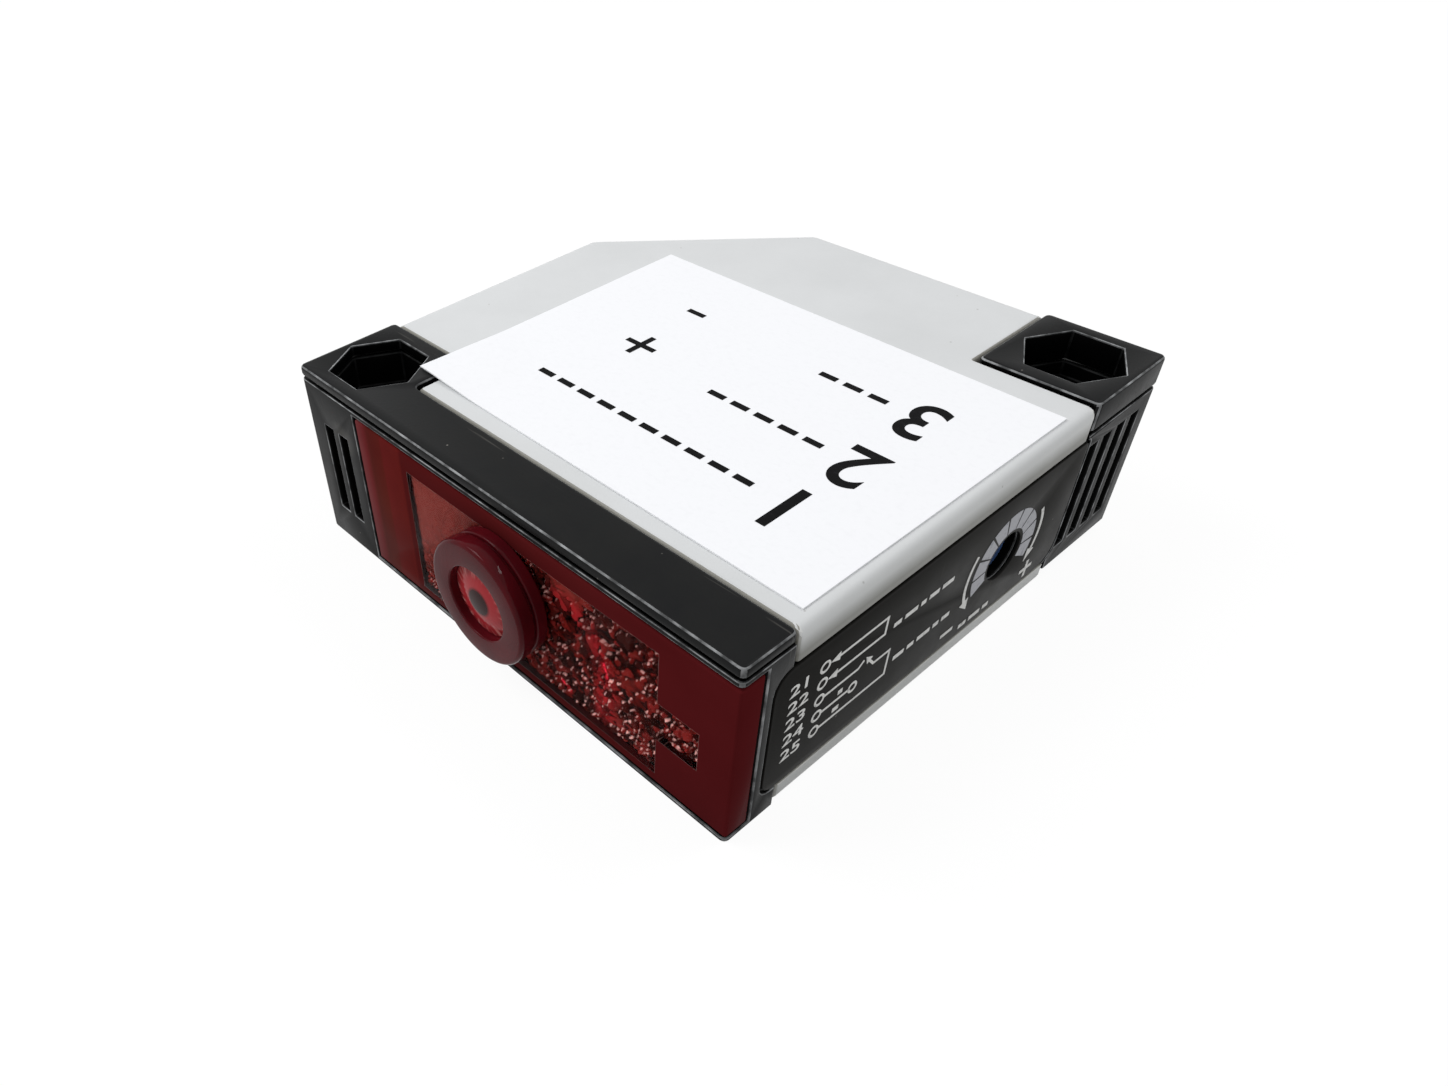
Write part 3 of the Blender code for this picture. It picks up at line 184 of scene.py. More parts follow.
# Rows of small bars: (along, up, lengths)
SMALL_BARS = (
    (12.9, 7.6, (0.9, 1.5, 0.6, 1.2, 1.4)), (13.9, 3.6, (1.3, 0.8, 1.6, 0.7, 1.0)),
    (23.2, 0.55, (1.0, 1.5, 0.8)), (7.3, ROWS[3] + 0.45, (0.5,)), (7.0, ROWS[4] + 0.45, (0.7,)))

# Minus and plus beside the dial: (left, low, right, high, ink)
DIAL_SIGNS = (
    (20.6, 1.2, 22.2, 1.55, INK), (31.6, 1.1, 33.4, 1.45, INK), (32.32, 0.4, 32.68, 2.15, OVER_INK))

# Printed scale of the dial
SCALE_BLOCKS = 9
SCALE_RADII = (2.45 * MM, 4.15 * MM)
SCALE_START = math.radians(-31)
SCALE_SWEEP = math.radians(240)
SCALE_GAP = math.radians(3.2)

# Arrows round the dial, in millimetres and degrees
ARROW_SPANS = ((150, 203), (27, -23))
ARROW_RADIUS = 5.0
ARROW_WIDTH = 0.34
TIP_TURN = 13
TIP_RADII = (4.45, 5.55)

# Paper sticker
STICKER_TURN = math.radians(-0.5)
STICKER_SIZE = (40.6 * MM, 29.9 * MM)
STICKER_GRID = (58, 43)
PAPER = 0.12 * MM
PAPER_GAP = 0.02 * MM
BLOCK_EDGE = 10.2 * MM
STEP_REACH = 7.0 * MM
CURL_REACH = 6.0 * MM
WAVE_HEIGHT = 0.02 * MM
WAVE_LENGTHS = (4.1 * MM, 5.3 * MM)

# Print on the sticker, in millimetres: (left, base, number of bars) of each row
STICKER_ROWS = ((18.4, -8.9, 10), (18.9, -1.8, 5), (18.7, 6.3, 3))
FIGURE_SIZE = 7.2
DASH_START = 5.0
DASH_PITCH = 2.35
DASH_LENGTH = 1.65
DASH_LOW = 1.7
DASH_HIGH = 2.3

# Bars of the sticker's plus and minus, in millimetres: (middle, half width, half height, ink)
SIGN_BARS = (
    ((-6.2, -2.4), 1.6, 0.28, INK), ((-6.2, -2.4), 0.28, 1.6, OVER_INK), ((-6.6, 4.9), 0.95, 0.28, INK))

# Cable inlet: what the cut corner takes off each side of the case
CORNER_CUT = 15.6 * MM

# Studio: lamps are (name, place in metres, width in metres, share of the key lamp's power)
FLOOR_HALF = 3.0
FLOOR_GAP = 0.02 * MM
FLOOR_SHARE = 0.86
FLOOR_GLOW = 1.08
LAMPS = (("key_lamp", (-0.26, -0.24, 0.42), 0.24, 1.0), ("rim_lamp", (0.14, 0.24, 0.44), 0.12, 0.35))
FILM_WIDTH = 36.0
CLIP_START = 0.005
CLIP_END = 20.0


def linear(code):
    """An sRGB hex colour as linear RGBA."""
    parts = [int(code[k:k + 2], 16) / 255.0 for k in (0, 2, 4)]
    return (*[p / 12.92 if p <= 0.04045 else ((p + 0.055) / 1.055) ** 2.4 for p in parts], 1.0)


def tint(name, description, code):
    """A colour setting with its default as sRGB hex."""
    return bpy.props.FloatVectorProperty(
        name=name, description=description, subtype="COLOR", size=4, min=0.0, max=1.0, default=linear(code))


def length(name, description, millimetres):
    """A length setting with its default in millimetres."""
    return bpy.props.FloatProperty(
        name=name, description=description, unit="LENGTH", precision=5, default=millimetres * MM)


class SensorSizes(bpy.types.PropertyGroup):
    """Sizes of the detail that the finishes add to the solids."""

    edge: length("Edge break", "Rounding of the housing's sharp edges", 0.12)
    pebble: length("Pebble", "Width of a large pebble in the textured panel", 1.00)
    pebble_fine: length("Fine pebble", "Width of a pebble in the panel's densest part", 0.58)
    pebble_step: length("Panel step", "Spacing of the points of the textured panel", 0.125)
    pebble_depth: length("Pebble depth", "Depth of the textured panel's relief", 0.28)
    curl: length("Paper curl", "Lift of the paper sticker's left corner", 0.12)
    flutes: bpy.props.IntProperty(
        name="Lens flutes", description="Number of fine radial flutes in the lens", default=30, min=0)


class SensorColours(bpy.types.PropertyGroup):
    """Main colours of the sensor's finishes."""

    black: tint("Black ABS", "Case, frame plate and corner pad", "1C1D1F")
    black_worn: tint("Worn ABS", "Cloudy parts of the black ABS", "262625")
    grey: tint("Grey ABS", "Covers on the two large faces", "DFE1E3")
    window: tint("Window", "Deep red of the window round its clear field", "551A19")
    window_clear: tint("Window, clear", "Tint of the window's clear acrylic", "EFC3BE")
    collar: tint("Collar", "Deep red acrylic of the lens collar", "741620")
    lens: tint("Lens", "Red acrylic of the lens", "A82C32")
    panel: tint("Panel", "Red acrylic of the textured panel", "6C201D")
    label: tint("Nameplate", "Black foil of the nameplate", "191918")
    ink: tint("Print", "White screen print of the nameplate", "E6E6E4")
    scale: tint("Dial print", "Light grey print of the dial's scale", "B9BABF")
    paper: tint("Paper", "White paper of the sticker", "F7F8FB")
    toner: tint("Toner", "Black print of the sticker", "0C0C0D")
    rotor: tint("Trimmer", "Blue nylon of the sensitivity trimmer", "44649A")


class SensorStage(bpy.types.PropertyGroup):
    """The camera's place and the strength of the light."""

    azimuth: bpy.props.FloatProperty(
        name="Azimuth", description="Camera's turn from the -Y side towards +X", subtype="ANGLE",
        default=math.radians(53.17))
    elevation: bpy.props.FloatProperty(
        name="Elevation", description="Camera's height above the horizon", subtype="ANGLE",
        default=math.radians(42.50))
    roll: bpy.props.FloatProperty(
        name="Roll", description="Camera's turn about its own axis", subtype="ANGLE",
        default=math.radians(-4.80))
    distance: length("Distance", "From the camera to its target", 79.96)
    target: bpy.props.FloatVectorProperty(
        name="Target", description="Point that the camera's axis passes through", subtype="TRANSLATION",
        size=3, default=(3.60 * MM, -24.80 * MM, 8.70 * MM))
    focal: bpy.props.FloatProperty(
        name="Focal length", description="Lens of the camera on a 36 mm sensor", unit="CAMERA",
        default=26.26)
    axis_x: bpy.props.FloatProperty(
        name="Axis from left", description="Where the camera's axis meets the picture, in picture widths",
        subtype="FACTOR", default=0.3591)
    axis_y: bpy.props.FloatProperty(
        name="Axis from top", description="Where the camera's axis meets the picture, in picture heights",
        subtype="FACTOR", default=0.5525)
    key: bpy.props.FloatProperty(
        name="Key lamp", description="Power of the large soft lamp", unit="POWER", default=1.3)
    sky: bpy.props.FloatProperty(
        name="Sky", description="Strength of the even light from all round", default=0.55)


def add(tree, kind, inputs=None, stops=None, **settings):
    """Adds a node. An input given as a socket is linked, any other is set, and stops fill its ramp."""
    node = tree.nodes.new(kind)
    for name, value in settings.items():
        setattr(node, name, value)
    for name, value in (inputs or {}).items():
        if isinstance(value, bpy.types.NodeSocket):
            tree.links.new(value, node.inputs[name])
        else:
            node.inputs[name].default_value = value
    if stops:
        elements = node.color_ramp.elements
        for element, (place, colour) in zip(elements, (stops[0], stops[-1])):
            element.position, element.color = place, colour
        for place, colour in stops[1:-1]:
            elements.new(place).color = colour
    return node


def material(name, **constants):
    """A Principled material with its constant sockets set, its tree, shader and object coordinates."""
    made = bpy.data.materials.new(name)
    made.use_nodes = True
    tree = made.node_tree
    shader = tree.nodes["Principled BSDF"]
    for socket, value in constants.items():
        shader.inputs[socket.replace("_", " ")].default_value = value
    place = add(tree, "ShaderNodeTexCoord").outputs["Object"]
    return made, tree, shader, place


def colours():
    """The scene's colour settings."""
    return bpy.context.scene.sensor_colours


def sizes():
    """The scene's size settings."""
    return bpy.context.scene.sensor_sizes


def moulded(name, body, cloud, patch, grain, depth, roughness, dust=0.0, scratch=0.0, dust_colour="C8C4BC",
            worn=None, recess_shade=None, **constants):
    """Moulded plastic: cloudy colour, grain, hair scratches, dust, edges pale from wear and a painted
    highlight, and painted shade in recesses.
    """
    made, tree, shader, place = material(name, **constants)
    patches = add(tree, "ShaderNodeTexNoise", {"Vector": place, "Scale": 1 / (patch * MM), "Detail": 6.0,
                                               "Roughness": 0.62})
    tone = add(tree, "ShaderNodeMix", {0: patches.outputs[0], 6: body, 7: cloud}, data_type="RGBA")
    colour = tone.outputs[2]
    if scratch:
        drawn = add(tree, "ShaderNodeMapping", {"Vector": place, "Rotation": (0.4, 0.5, 0.9),
                                                "Scale": (60.0, 1400.0, 60.0)})
        hair = add(tree, "ShaderNodeTexNoise", {"Vector": drawn.outputs[0], "Scale": 1.6, "Detail": 2.0})
        thin = add(tree, "ShaderNodeMapRange", {0: hair.outputs[0], 1: 0.73, 2: 0.80, 4: scratch})
        lifted = add(tree, "ShaderNodeMix", {0: thin.outputs[0], 6: colour, 7: linear(dust_colour)},
                     data_type="RGBA")
        colour = lifted.outputs[2]
    if dust:
        cells = add(tree, "ShaderNodeTexVoronoi", {"Vector": place, "Scale": 1 / (2.4 * MM)})
        speck = add(tree, "ShaderNodeMapRange", {0: cells.outputs["Distance"], 1: 0.05, 2: 0.02, 4: dust})
        dusted = add(tree, "ShaderNodeMix", {0: speck.outputs[0], 6: colour, 7: linear(dust_colour)},
                     data_type="RGBA")
        colour = dusted.outputs[2]
    if worn:
        # Edge mark: pale where the edges are worn, and a painted highlight along them
        edge = add(tree, "ShaderNodeAttribute", attribute_name="worn").outputs["Fac"]
        rub = add(tree, "ShaderNodeTexNoise", {"Vector": place, "Scale": 1 / (1.3 * MM), "Detail": 4.0})
        rubbed = add(tree, "ShaderNodeMapRange", {0: rub.outputs[0], 1: 0.38, 2: 0.66, 3: 0.15, 4: 0.85})
        share = add(tree, "ShaderNodeMath", {0: edge, 1: rubbed.outputs[0]}, operation="MULTIPLY")
        worn_and_highlit = add(tree, "ShaderNodeMix", {0: share.outputs[0], 6: colour, 7: worn}, data_type="RGBA")
        # Painted shade: faces that hide much of the sky darken towards the recess colour
        closed = add(tree, "ShaderNodeAttribute", attribute_name="painted_shade").outputs["Fac"]
        shaded = add(tree, "ShaderNodeMapRange", {0: closed, 1: 0.08, 2: 0.32, 4: 0.95})
        sunk = add(tree, "ShaderNodeMix", {0: shaded.outputs[0], 6: worn_and_highlit.outputs[2], 7: recess_shade},
                   data_type="RGBA")
        colour = sunk.outputs[2]
    tree.links.new(colour, shader.inputs["Base Color"])
    sheen = add(tree, "ShaderNodeMapRange", {0: patches.outputs[0], 1: 0.3, 2: 0.7, 3: roughness - 0.06,
                                             4: roughness + 0.08})
    tree.links.new(sheen.outputs[0], shader.inputs["Roughness"])
    grit = add(tree, "ShaderNodeTexNoise", {"Vector": place, "Scale": 1 / (grain * MM), "Detail": 3.0})
    bump = add(tree, "ShaderNodeBump", {"Height": grit.outputs[0], "Distance": depth * MM, "Strength": 0.7})
    tree.links.new(bump.outputs[0], shader.inputs["Normal"])
    return made


def case_black(name):
    # ABS, black, spark-eroded mould: satin, slightly cloudy, pale along its rubbed edges, which also carry a
    # painted highlight, with painted shade in its recesses
    # The pale edge colour is part wear and part painted highlight; the near-black recess colour is painted
    # shade
    return moulded(name, colours().black, colours().black_worn, 5.0, 0.30, 0.010, 0.32, 0.45, 0.07,
                   worn=linear("AEB0B2"), recess_shade=linear("020202"), Specular_IOR_Level=0.03)


def cover_grey(name):
    # ABS, light grey, fine mould: even and satin, darker in a band low on the upper cover's side and darker
    # towards the bottom, edges pale from wear and a painted highlight, painted shade in recesses
    # The near-white edge colour is part wear and part painted highlight; the recess colour is painted shade
    made = moulded(name, colours().grey, linear("CFD1D2"), 12.0, 0.28, 0.008, 0.42, 0.35, 0.0, "6E6A60",
                   worn=linear("F4F4F2"), recess_shade=linear("8A8880"), Specular_IOR_Level=0.3)
    tree = made.node_tree
    shader = tree.nodes["Principled BSDF"]
    before_darkening = shader.inputs["Base Color"].links[0].from_socket
    place = add(tree, "ShaderNodeTexCoord").outputs["Object"]
    height = add(tree, "ShaderNodeSeparateXYZ", {0: place}).outputs["Z"]
    level = add(tree, "ShaderNodeMapRange", {0: height, 2: PLATE_HIGH.z})
    # Darkening by height: a band low on the upper cover's side, and towards the bottom
    height_darkening = add(tree, "ShaderNodeValToRGB", {0: level.outputs[0]}, [
        (0.0, linear("D0D0CC")), (0.40, linear("FFFFFF")), (0.60, linear("7E7C74")),
        (0.86, linear("97968F")), (0.94, linear("F4F4F2")), (1.0, linear("FFFFFF"))])
    height_darkened = add(tree, "ShaderNodeMix", {0: 1.0, 6: before_darkening, 7: height_darkening.outputs[0]}, data_type="RGBA",
                blend_type="MULTIPLY")
    tree.links.new(height_darkened.outputs[2], shader.inputs["Base Color"])
    return made


def bushing_rubber(name):
    # Rubber, black, moulded: dull and greyish where it has bloomed
    return moulded(name, linear("191919"), linear("2E2D2B"), 3.0, 0.22, 0.02, 0.68, 0.4)


def nylon_cream(name):
    # Nylon, natural, moulded: waxy and slightly uneven
    return moulded(name, linear("CFC7AE"), linear("B8AE92"), 4.0, 0.3, 0.01, 0.45, Subsurface_Weight=0.1,
                   Subsurface_Scale=1.0 * MM)


def nylon_blue(name):
    # Nylon, blue, moulded: satin, darker where a screwdriver has rubbed it
    return moulded(name, colours().rotor, linear("2A3C5E"), 1.2, 0.2, 0.01, 0.34)


def relay_moulding(name):
    # PBT, blue, moulded: even gloss with fine grain
    return moulded(name, linear("2E5C9A"), linear("274E86"), 6.0, 0.25, 0.008, 0.30)


def chip_epoxy(name):
    # Epoxy, black, transfer moulded: matt with fine filler grain
    return moulded(name, linear("202021"), linear("2A2A2A"), 2.0, 0.15, 0.015, 0.55)


def board_mask(name):
    # Fibreglass board, green solder resist: glossy green with the tracks' paler bands under it
    made, tree, shader, place = material(name, Roughness=0.28)
    cells = add(tree, "ShaderNodeTexBrick", {"Vector": place, "Color1": linear("1F6B34"),
                                             "Color2": linear("1A5A2C"), "Mortar": linear("3C8A4C"),
                                             "Scale": 1 / (3.0 * MM), "Mortar Size": 0.05})
    tree.links.new(cells.outputs[0], shader.inputs["Base Color"])
    bump = add(tree, "ShaderNodeBump", {"Height": cells.outputs[1], "Distance": 0.03 * MM})
    tree.links.new(bump.outputs[0], shader.inputs["Normal"])
    return made


def shrunk_sleeve(name):
    # PVC sleeve, dark, heat shrunk: glossy with a pale stripe down one side
    made, tree, shader, place = material(name, Roughness=0.25)
    low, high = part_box("smoothing_capacitor")
    middle = (low + high) / 2
    centred = add(tree, "ShaderNodeMapping", {"Vector": place, "Location": (-middle.x, -middle.y, 0.0)})
    parts = add(tree, "ShaderNodeSeparateXYZ", {0: centred.outputs[0]})
    stripe = add(tree, "ShaderNodeMath", {0: parts.outputs["X"], 1: -2.9 * MM}, operation="LESS_THAN")
    tone = add(tree, "ShaderNodeMix", {0: stripe.outputs[0], 6: linear("22242E"), 7: linear("9EA3AD")},
               data_type="RGBA")
    tree.links.new(tone.outputs[2], shader.inputs["Base Color"])
    return made


def pins_tinned(name):
    # Brass, tinned: soft metal shine with cloudy oxide
    made, tree, shader, place = material(name, Metallic=1.0)
    cloud = add(tree, "ShaderNodeTexNoise", {"Vector": place, "Scale": 1 / (0.8 * MM), "Detail": 4.0})
    tone = add(tree, "ShaderNodeValToRGB", {0: cloud.outputs[0]},
               [(0.3, linear("C9C8C4")), (0.7, linear("A9A7A0"))])
    tree.links.new(tone.outputs[0], shader.inputs["Base Color"])
    rough = add(tree, "ShaderNodeMapRange", {0: cloud.outputs[0], 3: 0.25, 4: 0.45})
    tree.links.new(rough.outputs[0], shader.inputs["Roughness"])
    return made


def cast(name, body, tinge, transmission):
    """Cast clear epoxy or glass: slightly uneven tint and a faint ripple on its skin."""
    made, tree, shader, place = material(name, Roughness=0.06, Transmission_Weight=transmission, IOR=1.52)
    cloud = add(tree, "ShaderNodeTexNoise", {"Vector": place, "Scale": 1 / (1.5 * MM), "Detail": 2.0})
    tone = add(tree, "ShaderNodeMix", {0: cloud.outputs[0], 6: body, 7: tinge}, data_type="RGBA")
    tree.links.new(tone.outputs[2], shader.inputs["Base Color"])
    bump = add(tree, "ShaderNodeBump", {"Height": cloud.outputs[0], "Distance": 0.01 * MM})
    tree.links.new(bump.outputs[0], shader.inputs["Normal"])
    return made


def emitter_epoxy(name):
    # Epoxy, water clear, cast: a clear lamp body
    return cast(name, linear("E8E8EC"), linear("D8D8E0"), 0.9)


def mirror_glass(name):
    # Glass, half-silvered: clear with a cool tint
    return cast(name, linear("D8DEE4"), linear("C4CCD4"), 0.6)


def lamp_green(name):
    # Epoxy, green, cast: tinted lamp body
    return cast(name, linear("3FB56A"), linear("2C8F50"), 0.5)


def lamp_red(name):
    # Epoxy, red, cast: tinted lamp body
    return cast(name, linear("D0342A"), linear("A3221C"), 0.5)


def boxed(tree, place, low, high, blur):
    """1 inside an upright box seen from the front, fading to 0 across blur outside it."""
    middle, half = (low + high) / 2, (high - low) / 2
    moved = add(tree, "ShaderNodeVectorMath", {0: place, 1: middle}, operation="SUBTRACT")
    folded = add(tree, "ShaderNodeVectorMath", {0: moved.outputs[0]}, operation="ABSOLUTE")
    beyond = add(tree, "ShaderNodeVectorMath", {0: folded.outputs[0], 1: half}, operation="SUBTRACT")
    parts = add(tree, "ShaderNodeSeparateXYZ", {0: beyond.outputs[0]})
    worst = add(tree, "ShaderNodeMath", {0: parts.outputs["X"], 1: parts.outputs["Z"]}, operation="MAXIMUM")
    return add(tree, "ShaderNodeMapRange", {0: worst.outputs[0], 2: blur, 3: 1.0, 4: 0.0}).outputs[0]


def panel_boxes():
    """Low and high corners of the panel's main field and of its arm."""
    shoulder = PANEL_HIGH.x - ARM_LENGTH
    return ((PANEL_LOW, Vector((shoulder, PANEL_HIGH.y, PANEL_HIGH.z))),
            (Vector((shoulder - BORDER, PANEL_LOW.y, ARM_LOW)),
             Vector((PANEL_HIGH.x, PANEL_HIGH.y, ARM_LOW + ARM_HEIGHT))))


def window_red(name):
    # Acrylic, red, polished mould: deep red round a clear field, its reflections held low, with lighter
    # bands painted as reflections across its left part
    made, tree, shader, place = material(name, IOR=1.04, Specular_IOR_Level=0.04)
    parts = add(tree, "ShaderNodeSeparateXYZ", {0: place})
    fields = [boxed(tree, place, low, high, 0.03 * MM) for low, high in panel_boxes()]
    clear = add(tree, "ShaderNodeMath", {0: fields[0], 1: fields[1]}, operation="MAXIMUM").outputs[0]
    across = add(tree, "ShaderNodeMapRange", {0: parts.outputs["X"], 1: WINDOW_LOW.x, 2: WINDOW_HIGH.x})
    flow = add(tree, "ShaderNodeTexNoise", {"Vector": place, "Scale": 1 / (6.0 * MM), "Detail": 3.0})
    # Bands across the window's left part: the lighter ones are painted reflections
    painted_reflection_bands = add(tree, "ShaderNodeValToRGB", {0: across.outputs[0]}, [
        (0.0, linear("8A5052")), (0.03, linear("7A3234")), (0.045, linear("5A2A22")),
        (0.085, linear("66291F")), (0.09, linear("762824")), (0.15, linear("70241F")),
        (0.155, colours().window), (1.0, linear("5A1A1D"))])
    deep = add(tree, "ShaderNodeMix", {0: flow.outputs[0], 6: painted_reflection_bands.outputs[0], 7: linear("4E1416")},
               data_type="RGBA")
    tone = add(tree, "ShaderNodeMix", {0: clear, 6: deep.outputs[2], 7: colours().window_clear},
               data_type="RGBA")
    tree.links.new(tone.outputs[2], shader.inputs["Base Color"])
    tree.links.new(clear, shader.inputs["Transmission Weight"])
    lines = add(tree, "ShaderNodeMapping", {"Vector": place, "Scale": (30.0, 400.0, 160.0)})
    swirl = add(tree, "ShaderNodeTexNoise", {"Vector": lines.outputs[0], "Scale": 1.0, "Detail": 4.0})
    smear = add(tree, "ShaderNodeMapRange", {0: swirl.outputs[0], 1: 0.4, 2: 0.8, 3: 0.01, 4: 0.05})
    tree.links.new(smear.outputs[0], shader.inputs["Roughness"])
    bump = add(tree, "ShaderNodeBump", {"Height": swirl.outputs[0], "Distance": 0.01 * MM, "Strength": 0.15})
    tree.links.new(bump.outputs[0], shader.inputs["Normal"])
    return made


def panel_red(name):
    # Acrylic, red, pebbled mould: brown-red pebbles with painted black shade in the creases round them,
    # small painted highlights on them, a painted pale reflection on their smooth parts, and a red streak
    # with vivid painted glints
    made, tree, shader, place = material(name, Roughness=0.14, IOR=1.49, Specular_IOR_Level=0.03)
    layers = {layer: add(tree, "ShaderNodeAttribute", attribute_name=layer).outputs["Fac"]
              for layer in ("relief", "pale_reflection", "shade", "painted_glint", "streak_and_glints")}
    cloud = add(tree, "ShaderNodeTexNoise", {"Vector": place, "Scale": 1 / (3.0 * MM), "Detail": 3.0})
    mixed = add(tree, "ShaderNodeMix", {0: 0.45, 2: layers["shade"], 3: cloud.outputs[0]})
    tone = add(tree, "ShaderNodeValToRGB", {0: mixed.outputs[0]}, [
        (0.22, linear("1C0A07")), (0.45, linear("3A110E")), (0.62, colours().panel),
        (0.85, linear("84302E"))])
    lit = add(tree, "ShaderNodeMix", {0: layers["streak_and_glints"], 6: tone.outputs[0], 7: linear("C22E3C")},
              data_type="RGBA")
    # Vivid painted glints along two lines in the streak
    vivid_glint = add(tree, "ShaderNodeMapRange", {0: layers["streak_and_glints"], 1: 0.7, 2: 0.9})
    glow = add(tree, "ShaderNodeMix", {0: vivid_glint.outputs[0], 6: lit.outputs[2], 7: linear("FF3A5A")},
               data_type="RGBA")
    # Painted pale reflection on the panel's smooth parts
    pale_reflected = add(tree, "ShaderNodeMix", {0: layers["pale_reflection"], 6: glow.outputs[2], 7: linear("7C3F39")},
                data_type="RGBA")
    # Painted shade: the creases darken to near black
    crease_shade = add(tree, "ShaderNodeMapRange", {0: layers["relief"], 1: 0.06, 2: 0.42})
    deep = add(tree, "ShaderNodeMix", {0: crease_shade.outputs[0], 6: linear("090202"), 7: pale_reflected.outputs[2]},
               data_type="RGBA")
    # Painted highlights on the slopes that face up and left
    lights = add(tree, "ShaderNodeMix", {0: layers["painted_glint"], 6: deep.outputs[2], 7: linear("FFE6E2")},
                 data_type="RGBA")
    tree.links.new(lights.outputs[2], shader.inputs["Base Color"])
    return made


def collar_red(name):
    # Acrylic, deep red, polished mould: clouded with a darker red, its reflections held low
    made, tree, shader, place = material(name, Transmission_Weight=0.35, IOR=1.25, Roughness=0.07,
                                         Specular_IOR_Level=0.07)
    cloud = add(tree, "ShaderNodeTexNoise", {"Vector": place, "Scale": 1 / (4.0 * MM), "Detail": 3.0})
    tone = add(tree, "ShaderNodeMix", {0: cloud.outputs[0], 6: colours().collar, 7: linear("3E0E14")},
               data_type="RGBA")
    tree.links.new(tone.outputs[2], shader.inputs["Base Color"])
    return made


def polished_lens(name):
    # Acrylic, red, polished: painted radial streaks of light round a dark middle, painted for the emitter
    # behind it
    made, tree, shader, place = material(name, Transmission_Weight=0.1, IOR=1.30, Roughness=0.08,
                                         Specular_IOR_Level=0.12)
    centred = add(tree, "ShaderNodeMapping", {"Vector": place, "Location": (-AXIS.x, 0.0, -AXIS.z)})
    parts = add(tree, "ShaderNodeSeparateXYZ", {0: centred.outputs[0]})
    flat = add(tree, "ShaderNodeCombineXYZ", {0: parts.outputs["X"], 1: parts.outputs["Z"]})
    radius = add(tree, "ShaderNodeVectorMath", {0: flat.outputs[0]}, operation="LENGTH")
    turn = add(tree, "ShaderNodeMath", {0: parts.outputs["X"], 1: parts.outputs["Z"]}, operation="ARCTAN2")
    polar = add(tree, "ShaderNodeCombineXYZ", {0: turn.outputs[0], 1: radius.outputs["Value"]})
    spokes = add(tree, "ShaderNodeMapping", {"Vector": polar.outputs[0], "Scale": (5.0, 300.0, 1.0)})
    light_streaks = add(tree, "ShaderNodeTexNoise", {"Vector": spokes.outputs[0], "Scale": 1.0, "Detail": 3.0})
    # Painted reflection: pale radial streaks of light in the lens's outer ring
    lit = add(tree, "ShaderNodeValToRGB", {0: light_streaks.outputs[0]},
              [(0.36, linear("7E2022")), (0.50, linear("A6363A")), (0.68, linear("DC9A94"))])
    calm = add(tree, "ShaderNodeMapRange", {0: radius.outputs["Value"], 1: 2.0 * MM, 2: 2.9 * MM})
    body = add(tree, "ShaderNodeMix", {0: calm.outputs[0], 6: colours().lens, 7: lit.outputs[0]},
               data_type="RGBA")
    pupil = add(tree, "ShaderNodeMapRange", {0: radius.outputs["Value"], 1: 1.05 * MM, 2: 1.35 * MM})
    tone = add(tree, "ShaderNodeMix", {0: pupil.outputs[0], 6: linear("301010"), 7: body.outputs[2]},
               data_type="RGBA")
    tree.links.new(tone.outputs[2], shader.inputs["Base Color"])
    return made


def label_black(name):
    # Polyester foil, black, satin: smooth with faint greasy patches and hair scratches
    return moulded(name, colours().label, linear("242321"), 5.0, 0.18, 0.004, 0.38, 0.25, 0.06,
                   Specular_IOR_Level=0.02)


def ink_print(name, colour, worn):
    """Screen print: flat colour, thin and slightly broken where it has worn."""
    made, tree, shader, place = material(name, Roughness=0.6, Specular_IOR_Level=0.05)
    wear = add(tree, "ShaderNodeTexNoise", {"Vector": place, "Scale": 1 / (0.5 * MM), "Detail": 4.0})
    tone = add(tree, "ShaderNodeValToRGB", {0: wear.outputs[0]}, [(0.25, worn), (0.45, colour)])
    tree.links.new(tone.outputs[0], shader.inputs["Base Color"])
    bump = add(tree, "ShaderNodeBump", {"Height": wear.outputs[0], "Distance": 0.01 * MM})
    tree.links.new(bump.outputs[0], shader.inputs["Normal"])
    return made


def label_ink(name):
    # Screen ink, white: matt, slightly greyer where thin
    return ink_print(name, colours().ink, linear("A8A8A6"))


def scale_ink(name):
    # Screen ink, light grey: matt
    return ink_print(name, colours().scale, linear("90919A"))


def sticker_ink(name):
    # Laser toner, black: matt
    return ink_print(name, colours().toner, linear("1A1A1C"))


def sticker_paper(name):
    # Paper, uncoated white: matt with fine fibres
    made, tree, shader, place = material(name, Roughness=0.85, Specular_IOR_Level=0.15)
    drawn = add(tree, "ShaderNodeMapping", {"Vector": place, "Scale": (1800.0, 2600.0, 1800.0)})
    fibre = add(tree, "ShaderNodeTexNoise", {"Vector": drawn.outputs[0], "Scale": 1.0, "Detail": 5.0})
    tone = add(tree, "ShaderNodeValToRGB", {0: fibre.outputs[0]},
               [(0.3, linear("F5F6F9")), (0.5, colours().paper)])
    tree.links.new(tone.outputs[0], shader.inputs["Base Color"])
    bump = add(tree, "ShaderNodeBump", {"Height": fibre.outputs[0], "Distance": 0.004 * MM, "Strength": 0.3})
    tree.links.new(bump.outputs[0], shader.inputs["Normal"])
    return made


LOOKS = {make.__name__: make for make in (
    case_black, cover_grey, bushing_rubber, nylon_cream, nylon_blue, relay_moulding, chip_epoxy, board_mask,
    shrunk_sleeve, pins_tinned, emitter_epoxy, mirror_glass, lamp_green, lamp_red, window_red, panel_red,
    collar_red, polished_lens, label_black, label_ink, scale_ink, sticker_ink, sticker_paper)}


def look(name):
    """The finish of that name, made the first time it is asked for."""
    return bpy.data.materials.get(name) or LOOKS[name](name)


